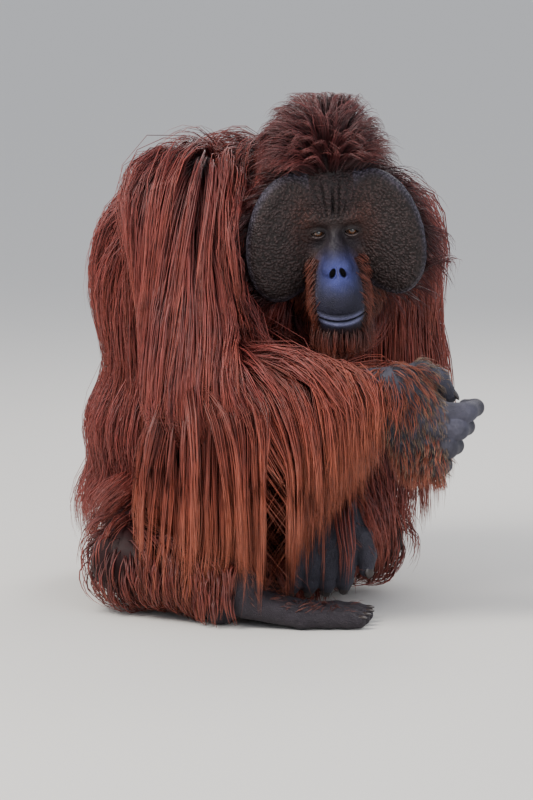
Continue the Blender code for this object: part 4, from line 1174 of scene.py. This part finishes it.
def make_nails(material):
    """All the nails of hands and feet, one low dome sunk in each tip."""
    spots, turns, sizes = [], [], []
    for centre, ahead, out, radius in NAILS:
        basis = Matrix((ahead.cross(out), ahead, out)).transposed()
        spots.append(centre - out * radius * 0.06)
        turns.append(tuple(basis.to_euler("XYZ")))
        sizes.append(radius)
    mesh = bpy.data.meshes.new("nails")
    mesh.from_pydata([tuple(spot) for spot in spots], [], [])
    set_values(mesh, "nail_turn", "FLOAT_VECTOR", np.array(turns))
    set_values(mesh, "nail_size", "FLOAT", np.array(sizes))
    made = new_object("nails", mesh)
    grown = made.modifiers.new("nails", "NODES")
    grown.node_group = nail_tree(material)
    names = {item.name: item.identifier for item in grown.node_group.interface.items_tree}
    grown[names["Length"]] = 0.92
    grown[names["Width"]] = 0.74
    apply_modifiers(made)
    return made


# The coat: closed, three-sided strands that follow guides down the lie of the hair.

TRACE_STEPS = 10
RISE = 0.6
TOUSLE = 0.07
RINGS = 6
PROFILE = np.array((0.55, 0.95, 1.0, 0.86, 0.62, 0.34))
FLATNESS = 0.42
ROOT_SINK = 0.003
PIECE_STRANDS = 5800
PATCH = 0.003
WAVES = 1.4
STRAND_FLOOR = 0.004
OVERHANG = 0.012
GUIDE_FLOOR = 0.010
RIGHT_FORE = unit(np.array(WRIST_R - ELBOW_R))
RIGHT_ARM = unit(np.array(ELBOW_R - SHOULDER_R))


def share_along(points, start, end):
    a, b = np.array(start), np.array(end)
    return np.clip((points - a) @ (b - a) / ((b - a) @ (b - a)), 0, 1)


FALL_SHARE = 0.92


def hanging(end_height, most, least):
    """Lengths that reach from their roots to a height above the floor."""
    def length(places):
        return np.clip((places.points[:, 2] - end_height) / FALL_SHARE, least, most)

    return length


def trunk_length(places):
    return np.interp(places.points[:, 2], (0.1, 0.3, 0.5, 0.8), (0.15, 0.24, 0.34, 0.38))


def forearm_length(places):
    share = share_along(places.points, ELBOW_R, WRIST_R)
    return np.interp(share, (0, 0.35, 0.62, 1), (0.42, 0.40, 0.28, 0.10))


def comb_down(places):
    return DOWN + places.normals * 0.15


def comb_right_arm(places):
    """Down the arm, and from the elbow's inner side on along the forearm."""
    share = share_along(places.points, SHOULDER_R, ELBOW_R)
    out = places.points - np.array(NECK_BASE)
    out[:, 2] = 0
    over = smoothstep(0.25, 0.85, places.normals[:, 2]) * smoothstep(0.5, 0.1, share)
    comb = RIGHT_ARM * 0.7 + DOWN * 1.1 + unit(out) * over[:, None] * 1.6
    inner = smoothstep(0.45, 0.95, share) * smoothstep(0.0, 0.7, places.normals[:, 0])
    return comb + np.outer(inner, (1.3, -0.1, 0.0))


def comb_forearm(places):
    """Along the top of the forearm, and down from its sides."""
    share = share_along(places.points, ELBOW_R, WRIST_R)
    top = smoothstep(0.0, 0.9, places.normals[:, 2]) * (1.1 - 0.9 * share)
    return np.outer(0.08 + 0.85 * top, RIGHT_FORE) + np.outer(1.1 - 0.55 * top, DOWN)


def comb_back(places):
    """Out over the shoulders from the neck, and down the back and flanks."""
    out = places.points - np.array((0.12, -0.06, 0.60))
    out[:, 2] = 0
    over = smoothstep(0.30, 0.85, places.normals[:, 2])
    return DOWN + unit(out) * (0.10 + 1.5 * over)[:, None]


def comb_crown(places):
    """Swept sideways and back over the crown, out and down at the sides."""
    left, crown, face = HEAD_TURN
    u, v = places.local.T[:2]
    turn = np.arctan2(v + 1.0, u)
    aside = np.clip((u + 0.6) / 7.5, -1, 1)
    rise = np.sin(turn) * (0.30 + 0.9 * hill(u, 4.5))
    out = np.outer(aside * 1.1, left) + np.outer(rise, crown)
    return out - face * 0.65 + DOWN * 0.25


def comb_chin(places):
    """Down, spreading from the middle."""
    return DOWN + np.outer(places.local[:, 0] * 0.06, HEAD_TURN[0]) + HEAD_TURN[2] * 0.25


def comb_cheek(places):
    """From the muzzle's edge outwards and down."""
    left, crown, face = HEAD_TURN
    return np.outer(np.sign(places.local[:, 0]) * 0.9, left) - crown * 0.9 + face * 0.1


def comb_wrist(places):
    """A whorl on the wrist: hair runs out from it, over the hand and down its lower edge."""
    out = places.points - np.array(WRIST_R)
    return unit(out) * 0.9 + DOWN * 0.55


def comb_leg(places):
    return DOWN * 0.8 + np.array((0.0, -0.25, 0.0)) + places.normals * 0.3


def bare_face(places):
    """One where the face is bare, nought where it is haired."""
    u, v, w = places.local.T
    front = places.facing(HEAD_TURN[2]) > -0.15
    disc = (v < 9.8 - 0.02 * u * u) & (v > -18.0) & (w > -6.0)
    pads = places.on("cheek_flange_right", "cheek_flange_left") & front
    return pads | (places.on("head") & disc & front)


def cheek_hair(places):
    """Where short hair grows beside the muzzle."""
    u, v, w = places.local.T
    side = np.abs(u)
    wide = np.interp(v, (-17, -14, -10, -6, -4), (3.6, 4.3, 4.0, 3.7, 3.6))
    inner = smoothstep(wide - 0.9, wide + 0.7, side)
    return inner * (places.on("head") & (side < 11) & (v < -4.5) & (v > -18) & (w > -6.5))


def near_floor_less(places):
    """Thins the hair just above the floor, where it is pressed down and out of sight."""
    return np.where(places.points[:, 2] < 0.02, 0.15, 1.0)


def evenly(places):
    return np.ones(len(places.points))


def forearm_weight(places):
    """Little hair on the bare patch above the wrist."""
    patch = smoothstep(0.19, 0.24, places.points[:, 0]) * smoothstep(-0.5, 0.0, -places.normals[:, 1])
    return 1.0 - 0.88 * patch


def head_weight(places):
    """Dense on the front of the crown, none on the bare face."""
    u, v, w = places.local.T
    pads = places.on("cheek_flange_right", "cheek_flange_left")
    crown = smoothstep(6.0, 9.0, v) * smoothstep(-16, -10, w)
    weight = np.where(pads, 1.2, 0.5 + crown * (2.0 + 2.5 * hill(u, 3.0))) * ~bare_face(places)
    return weight * (v > -16.5) * (cheek_hair(places) < 0.01)


def chin_weight(places):
    return places.on("head") * smoothstep(-15.9, -17.2, places.local[:, 1]) * (places.local[:, 2] > -4)


def from_wrist(places):
    return np.linalg.norm(places.points - np.array(WRIST_R), axis=1)


def hand_weight(places):
    """On the wrist, on the back of the hand and along its lower edge."""
    edge = smoothstep(0.36, 0.30, places.points[:, 2]) * (places.points[:, 0] < 0.40)
    back = smoothstep(0.11, 0.02, from_wrist(places)) * (places.normals[:, 0] > -0.6)
    return np.maximum(back, 0.8 * edge) * (places.points[:, 0] > 0.24)


def back_weight(places):
    """Short grizzled hair between the wrist and the knuckles."""
    outward = smoothstep(-0.5, 0.1, -places.normals[:, 1])
    near = smoothstep(0.05, 0.08, from_wrist(places))
    return near * smoothstep(0.415, 0.395, places.points[:, 0]) * outward


def shin_weight(places):
    return 0.4 + 1.6 * smoothstep(-0.3, 0.5, places.normals[:, 2] - places.normals[:, 1])


def foot_weight(places):
    return smoothstep(0.0, 0.7, places.normals[:, 2]) * (places.points[:, 2] > 0.03)


TRUNK = dict(comb=comb_back, weight=near_floor_less, sag=0.30, loose=0.012, converge=0.36, wave=0.0025,
             clump=8)
LEG = dict(comb=comb_leg, weight=near_floor_less, sag=0.25, loose=0.010, converge=0.40, wave=0.0025, clump=8)
LEFT_ARM = dict(comb=comb_down, weight=evenly, wave=0.003, clump=8,
                colours=("#431818", "#7E362D", "#A25646"))
HAND_AXIS = (WRIST_R, WRIST_R + Vector((0.1, 0, -0.05)))
LEG_COLOURS = ("#3C1613", "#702E26", "#8E4A3A")

# Each coat: its nodes, strands, lie, lengths in metres, how far it stands off the skin and its colours
# from root to tip, the dark root colour painted shade and the pale tip colour partly painted highlight.
# The axis is what its unwrap for baking turns about.
COATS = [
    dict(TRUNK, name="coat_trunk", nodes=("torso",), strands=9000, length=trunk_length,
         stand=(0.010, 0.048), width=0.0022, axis=(PELVIS, CHEST + UPWARD * 0.3),
         colours=("#42181A", "#78322C", "#9C5248")),
    dict(TRUNK, name="coat_nape", nodes=("neck",), strands=3300, length=0.20, stand=(0.008, 0.040),
         width=0.0020, axis=(NECK_BASE, NECK_BASE + UPWARD * 0.2), colours=("#401719", "#722E29", "#92493C")),
    dict(name="coat_arm_right", nodes=("upper_arm_right",), strands=8200, weight=evenly, comb=comb_right_arm,
         length=hanging(-0.030, 0.50, 0.20), parted=True, stand=(0.008, 0.044), sag=0.34, loose=0.014,
         converge=0.38, wave=0.0030, width=0.0021, clump=8, axis=(SHOULDER_R, ELBOW_R),
         colours=("#43181A", "#7A332C", "#A25748")),
    dict(name="coat_forearm_right", nodes=("forearm_right",), strands=5800, weight=forearm_weight,
         comb=comb_forearm, length=forearm_length, parted=True, stand=(0.006, 0.028), sag=0.62, loose=0.5,
         converge=0.42, wave=0.0035, width=0.0020, clump=9, axis=(ELBOW_R, WRIST_R),
         colours=("#471B17", "#843A2B", "#AE6248")),
    dict(LEFT_ARM, name="coat_arm_left", nodes=("upper_arm_left",), strands=2500,
         length=hanging(0.10, 0.32, 0.14), stand=(0.008, 0.040), sag=0.30, loose=0.014, converge=0.38,
         width=0.0025, axis=(SHOULDER_L, ELBOW_L)),
    dict(LEFT_ARM, name="coat_forearm_left", nodes=("forearm_left",), strands=1300,
         length=hanging(0.04, 0.17, 0.06), stand=(0.005, 0.024), sag=0.5, loose=0.5, converge=0.40,
         width=0.0024, axis=(ELBOW_L, WRIST_L)),
    dict(name="coat_head", nodes=("head", "cheek_flange_right", "cheek_flange_left"), strands=5200,
         weight=head_weight, comb=comb_crown, length=0.100, rise=0.40, tousle=0.20, stand=(0.006, 0.036),
         sag=0.22, loose=0.02, converge=0.32, wave=0.0022, width=0.0017, clump=7,
         axis=(head_point(0, 2, -16), head_point(0, 2, 0)), colours=("#220D10", "#4A1D1F", "#6A302B")),
    dict(name="coat_chin", nodes=("head",), strands=1100, weight=chin_weight, comb=comb_chin, length=0.060,
         stand=(0.002, 0.012), sag=0.30, loose=0.02, converge=0.4, wave=0.002, width=0.0015, clump=7,
         axis=(head_point(0, -24, 0), head_point(0, -14, 0)), colours=("#33160F", "#642C20", "#864634")),
    dict(name="coat_cheeks", nodes=("head",), strands=1700, weight=cheek_hair, comb=comb_cheek, rise=0.45,
         length=0.024, stand=(0.001, 0.004), sag=0.06, loose=0.01, converge=0.2, wave=0.001, width=0.0013,
         clump=6, axis=(head_point(0, -18, 0), head_point(0, -4, 0)),
         colours=("#33160F", "#5E2A1D", "#7E402B")),
    dict(LEG, name="coat_hips", nodes=("hips",), strands=500, length=0.12, stand=(0.004, 0.024),
         width=0.0030, axis=(PELVIS - UPWARD * 0.1, PELVIS + UPWARD * 0.2), colours=LEG_COLOURS),
    dict(LEG, name="coat_thighs", nodes=("thigh_right", "thigh_left"), strands=1200, length=0.12,
         stand=(0.004, 0.020), width=0.0028, axis=(HIP_R, KNEE_R), colours=LEG_COLOURS),
    dict(LEG, name="coat_shins", nodes=("shin_right", "shin_left"), strands=1600, weight=shin_weight,
         length=0.095, stand=(0.003, 0.014), width=0.0026, axis=(KNEE_R, ANKLE_R),
         colours=("#381412", "#6A2B24", "#884636")),
    dict(name="coat_hand_back", nodes=("hand_right",), strands=1000, weight=back_weight, comb=comb_wrist,
         length=0.018, stand=(0.0008, 0.004), sag=0.15, loose=0.01, converge=0.2, wave=0.001, width=0.0011,
         clump=6, axis=HAND_AXIS, colours=("#3C302A", "#6E5A4A", "#9A8672")),
    dict(name="coat_hand", nodes=("hand_right", "forearm_right"), strands=1500, weight=hand_weight,
         comb=comb_wrist, length=0.042, stand=(0.001, 0.007), sag=0.25, loose=0.02, converge=0.25,
         wave=0.0015, width=0.0013, clump=6, axis=HAND_AXIS, colours=("#3A1A14", "#84412E", "#A8664C")),
    dict(name="coat_feet", nodes=("foot_right", "foot_left", "hand_left"), strands=400, weight=foot_weight,
         comb=comb_leg, length=0.022, stand=(0.001, 0.004), sag=0.1, loose=0.01, converge=0.3, wave=0.001,
         width=0.0014, clump=6, axis=(ANKLE_R, ANKLE_L), colours=("#3A1A14", "#6A3428", "#86503E")),
]


def sample_roots(places, areas, corners, plan, random):
    """Draws roots evenly over the coat's share of the skin."""
    weight = areas * places.on(*plan["nodes"]) * plan["weight"](places)
    total = np.cumsum(weight)
    chosen = np.searchsorted(total, random.random(plan["strands"]) * total[-1])
    a, b = random.random((2, plan["strands"]))
    over = a + b > 1
    a, b = np.where(over, 1 - a, a), np.where(over, 1 - b, b)
    one, two, three = corners[chosen].transpose(1, 0, 2)
    points = one + (two - one) * a[:, None] + (three - one) * b[:, None]
    return Places(points, places.normals[chosen], places.nodes[chosen])


def trace(places, plan, length, space, random):
    """Guides from their roots: combed, then falling, kept off the body and near it."""
    stand, sag, loose = sum(plan["stand"]) / 2, plan["sag"], plan["loose"]
    normals = places.normals
    comb = plan["comb"](places) + random.normal(0, plan.get("tousle", TOUSLE), places.points.shape)
    lie = unit(comb - normals * (comb * normals).sum(axis=1, keepdims=True))
    heading = unit(lie + normals * plan.get("rise", RISE))
    point = places.points.copy()
    step = (length / TRACE_STEPS)[:, None]
    points, outs = [point], [normals]
    for i in range(TRACE_STEPS):
        pull = sag * (0.35 + 0.65 * i / (TRACE_STEPS - 1))
        heading = unit(heading * (1 - pull) + DOWN * pull)
        point = point + heading * step
        height = np.full(len(point), stand * min(1.0, (i + 1) / 4))
        for _ in range(2):
            gap, away = space.read(point)
            push = np.clip(height - gap, 0, None) - np.clip(gap - height - loose, 0, None)
            point = point + away * push[:, None]
        point[:, 2] = np.maximum(point[:, 2], GUIDE_FLOOR)
        heading = unit(point - points[-1])
        points.append(point)
        outs.append(away)
    return np.stack(points, axis=1), np.stack(outs, axis=1)


def nearest_guides(roots, guides):
    tree = KDTree(len(guides))
    for i, guide in enumerate(guides):
        tree.insert(guide, i)
    tree.balance()
    return np.array([tree.find(root)[1] for root in roots])


def sampled(paths, shares):
    """Reads each path at its own shares of the way."""
    place = np.clip(shares, 0, 1) * (paths.shape[1] - 1)
    low = np.minimum(place.astype(int), paths.shape[1] - 2)
    part = (place - low)[..., None]
    rows = np.arange(len(paths))[:, None]
    return paths[rows, low] * (1 - part) + paths[rows, low + 1] * part


def unwrapped(points, axis):
    """A round-the-axis unwrap of places on the skin, from nought to one."""
    start, end = np.array(axis[0]), np.array(axis[1])
    along = unit(end - start)
    aside = unit(np.cross(along, (0.3, -0.9, 0.31)))
    third = np.cross(along, aside)
    local = points - start
    turn = np.arctan2(local @ third, local @ aside) / (2 * math.pi) + 0.5
    reach = (local @ along) / np.linalg.norm(end - start)
    return np.stack((turn, 0.5 + 0.35 * np.tanh(reach - 0.5)), axis=1)


def strand_arrays(paths, outs, widths):
    """Points and triangles of closed strands with three sides, a sunk root and a fine tip."""
    count, rings = len(paths), paths.shape[1] - 1
    tangents = unit(np.gradient(paths, axis=1))
    sides = unit(np.cross(tangents, outs))
    outs = np.cross(sides, tangents)
    half = (widths[:, None] * PROFILE[None, :] * 0.5)[..., None]
    body, side, out = paths[:, :rings], sides[:, :rings], outs[:, :rings]
    ring = np.stack((body + side * half, body + out * half * 2 * FLATNESS, body - side * half), axis=2)
    points = np.concatenate((ring.reshape(count, rings * 3, 3), paths[:, rings:]), axis=1)
    faces = [(0, 1, 2)]
    for i in range(rings - 1):
        for j in range(3):
            k = (j + 1) % 3
            a, b, c, d = 3 * i + j, 3 * i + 3 + j, 3 * i + 3 + k, 3 * i + k
            faces += [(a, b, c), (a, c, d)]
    last = 3 * (rings - 1)
    faces += [(last + j, 3 * rings, last + (j + 1) % 3) for j in range(3)]
    pattern = np.array(faces)
    triangles = pattern[None] + (np.arange(count) * points.shape[1])[:, None, None]
    return points, triangles.reshape(-1, 3)


def strand_colours(plan, tone, shares):
    """Darker at the root as painted shade, paler at the tip, partly the hair's own colour and partly
    painted highlight; each clump and strand a little different.
    """
    root, middle, tip = (linear(code) for code in plan["colours"])
    t = shares[..., None]
    # Painted shade towards the root; towards the tip, the hair's own paler colour with painted highlight.
    lower = root + (middle - root) * t / 0.45
    upper = middle + (tip - middle) * (t - 0.45) / 0.55
    colours = np.where(t < 0.45, lower, upper)
    return colours * tone[:, None, None]


FACE_COATS = ("coat_head", "coat_cheeks", "coat_chin")
GAP_X, GAP_REACH, GAP_SPREAD = 0.104, 0.030, 0.017


def parted(paths):
    """Parts the hanging hair of the arm from that of the forearm, low down, at one place."""
    x, z = paths[..., 0], paths[..., 2]
    move = np.sign(x - GAP_X) * hill(x - GAP_X, GAP_REACH) * smoothstep(0.40, 0.27, z) * GAP_SPREAD
    return paths + move[..., None] * np.array((1.0, 0.0, 0.0))


def over_face(paths):
    """Which strands would hang before the face."""
    local = head_local(paths.reshape(-1, 3)).reshape(paths.shape)
    u, v, w = np.abs(local[..., 0]), local[..., 1], local[..., 2]
    return ((u < 16.2) & (v > -13.0) & (v < 10.5) & (w > -4.0)).any(axis=1)


def strand_paths(plan, roots, guides, space, random):
    """Each strand's path beside its guide, its outward and sideways directions, and its guide."""
    count = len(roots.points)
    low, high = plan["stand"]
    length = plan["length"]
    if callable(length):
        length = length(guides)
    length = length * random.uniform(0.92, 1.06, len(guides.points))
    lines, line_outs = trace(guides, plan, length, space, random)
    owner = nearest_guides(roots.points, guides.points)
    shares = np.linspace(0, 1, RINGS + 1)[None, :] * np.ones((count, 1))
    reach = random.uniform(0.74, 1.0, count)[:, None]
    paths = sampled(lines[owner], shares * reach)
    outs = sampled(line_outs[owner], shares * reach)
    offset = roots.points - guides.points[owner]
    spread = 1 - plan["converge"] * shares**0.8
    paths = paths + offset[:, None, :] * spread[..., None]
    depth = random.uniform(-0.5, 0.5, count)[:, None] * (high - low) * smoothstep(0.0, 0.35, shares)
    paths = paths + outs * depth[..., None]
    swing = random.uniform(0, 2 * math.pi, (len(guides.points), 2))[owner]
    swing = swing + random.normal(0, 0.5, (count, 2))
    sides = unit(np.cross(unit(np.gradient(paths, axis=1)), outs))
    turns = shares * 2 * math.pi * WAVES
    bend = plan["wave"] * shares
    paths = paths + sides * (np.sin(turns + swing[:, :1]) * bend)[..., None]
    paths = paths + outs * (np.sin(turns * 0.8 + swing[:, 1:]) * bend * 0.4)[..., None]
    paths[:, 0] = roots.points - roots.normals * ROOT_SINK
    paths[..., 2] = np.maximum(paths[..., 2], STRAND_FLOOR)
    if plan.get("parted"):
        paths = parted(paths)
    return np.clip(paths, CAD_LOW - OVERHANG, CAD_HIGH + OVERHANG), outs, sides, owner


def baking_patches(place):
    """A small patch for each strand at its root's place on the unwrap."""
    steps = np.append(np.repeat(np.linspace(-0.5, 0.4, RINGS), 3), 0.5)
    across = np.append(np.tile((-0.5, 0.0, 0.5), RINGS), 0.0)
    patch = np.stack((across, steps), axis=1) * PATCH
    return (place[:, None, :] + patch[None]).reshape(-1, 2)


def grow_coat(plan, places, areas, corners, space, material, random):
    """One coat, as one or more pieces of joined strands."""
    roots = sample_roots(places, areas, corners, plan, random)
    guides = roots.pick(np.arange(len(roots.points) // plan["clump"]))
    paths, outs, sides, owner = strand_paths(plan, roots, guides, space, random)
    kept = np.flatnonzero(~over_face(paths) | (plan["name"] in FACE_COATS))
    paths, outs, sides, owner, roots = paths[kept], outs[kept], sides[kept], owner[kept], roots.pick(kept)
    count = len(kept)
    tilt = random.normal(0, 0.45, count)[:, None, None]
    outs = unit(outs + sides * tilt)
    widths = plan["width"] * random.uniform(0.7, 1.25, count)
    tone = random.normal(1.0, 0.08, len(guides.points))[owner] * random.normal(1.0, 0.18, count)
    shares = np.linspace(0, 1, RINGS + 1)[None, :] * np.ones((count, 1))
    colours = strand_colours(plan, np.clip(tone, 0.55, 1.5), shares)
    place = unwrapped(roots.points, plan["axis"])
    order = np.argsort(place[:, 0], kind="stable")
    pieces = math.ceil(count / PIECE_STRANDS)
    for number, chosen in enumerate(np.array_split(order, pieces)):
        points, triangles = strand_arrays(paths[chosen], outs[chosen], widths[chosen])
        ring_colours = np.repeat(colours[chosen][:, :RINGS], 3, axis=1)
        tints = np.concatenate((ring_colours, colours[chosen][:, RINGS:]), axis=1)
        name = plan["name"] if pieces == 1 else f"{plan['name']}_{number + 1}"
        finish_strands(name, points, triangles, tints, baking_patches(place[chosen]), material)


def finish_strands(name, points, triangles, tints, uv, material):
    mesh = triangle_mesh(name, points.reshape(-1, 3), triangles)
    set_values(mesh, "tint", "FLOAT_COLOR", with_alpha(tints.reshape(-1, 3)))
    layer = mesh.uv_layers.new(name="OFBake")
    layer.data.foreach_set("uv", np.clip(uv, 0.001, 0.999)[triangles.ravel()].astype(np.float32).ravel())
    mesh.materials.append(material)
    made = new_object(name, mesh)
    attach(made, "root")


def skin_triangles(mesh):
    """The middle, way, area and corners of each of the skin's triangles."""
    mesh.calc_loop_triangles()
    index = np.empty(len(mesh.loop_triangles) * 3, dtype=np.int32)
    mesh.loop_triangles.foreach_get("vertices", index)
    corners = points_of(mesh)[index.reshape(-1, 3)]
    cross = np.cross(corners[:, 1] - corners[:, 0], corners[:, 2] - corners[:, 0])
    areas = np.linalg.norm(cross, axis=1) / 2
    return Places(corners.mean(axis=1), unit(cross)), areas, corners


# The floor, light and camera.

MIDDLE = Vector((0.087, -0.200, 0.370))
CAMERA_AWAY = 7.0
CAMERA_UP = math.radians(8)
PIXELS_PER_METRE = 546
PHOTO_HEIGHT = 800
SENSOR = 36
FLOOR_HALF = 60


def make_floor():
    mesh = bpy.data.meshes.new("studio_floor")
    half = FLOOR_HALF
    corners = [(-half, -half, 0), (half, -half, 0), (half, half, 0), (-half, half, 0)]
    mesh.from_pydata(corners, [], [(0, 1, 2, 3)])
    made, _, shader = blank_material("pale_paper_floor")
    shader.inputs["Base Color"].default_value = shade("#D9D6D0")
    shader.inputs["Roughness"].default_value = 0.9
    mesh.materials.append(made)
    floor = new_object("studio_floor", mesh)


def add_light(name, place, size, power, colour):
    """A soft square light that looks at the animal's breast."""
    data = bpy.data.lights.new(name, "AREA")
    data.size, data.energy, data.color = size, power, colour
    made = bpy.data.objects.new(name, data)
    made.location = place
    made.rotation_euler = (Vector((0.1, -0.15, 0.5)) - Vector(place)).to_track_quat("-Z", "Y").to_euler()
    bpy.context.scene.collection.objects.link(made)


def light_scene():
    world = bpy.data.worlds.new("soft_studio")
    world.use_nodes = True
    background = world.node_tree.nodes["Background"]
    background.inputs["Color"].default_value = (0.86, 0.90, 1.0, 1)
    background.inputs["Strength"].default_value = 0.85
    bpy.context.scene.world = world
    add_light("high_left", (-1.8, -1.6, 3.0), 1.6, 150, (1.0, 0.96, 0.90))
    add_light("front_fill", (1.6, -3.6, 1.6), 2.4, 52, (0.95, 0.97, 1.0))
    add_light("back_rim", (1.2, 2.2, 2.6), 1.6, 60, (1.0, 0.97, 0.94))


def aim_camera():
    data = bpy.data.cameras.new("photo_view")
    data.sensor_width = SENSOR
    data.lens = PIXELS_PER_METRE * CAMERA_AWAY * SENSOR / PHOTO_HEIGHT
    made = bpy.data.objects.new("photo_view", data)
    back = Vector((0, -math.cos(CAMERA_UP), math.sin(CAMERA_UP)))
    made.location = MIDDLE + back * CAMERA_AWAY
    made.rotation_euler = (-back).to_track_quat("-Z", "Y").to_euler()
    bpy.context.scene.collection.objects.link(made)
    bpy.context.scene.camera = made


# Making everything.

random_draw = np.random.default_rng(SEED)
make_floor()
light_scene()
aim_camera()

skin = make_skin()
paint_skin(skin.data)
skin.data.materials.append(skin_material())
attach(skin, "root")
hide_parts(*NODES)

wet = eye_material()
for side in SIDES:
    eyeball = make_eye(side, wet)
    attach(eyeball, "root")
    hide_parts("eye_" + side)
nails = make_nails(nail_material())
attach(nails, "root")

space = BodySpace((-0.42, -0.68, -0.03), (0.66, 0.42, 1.02), 0.011)
middles, areas, corners = skin_triangles(skin.data)
hair = hair_material()
for plan in COATS:
    grow_coat(plan, middles, areas, corners, space, hair, random_draw)
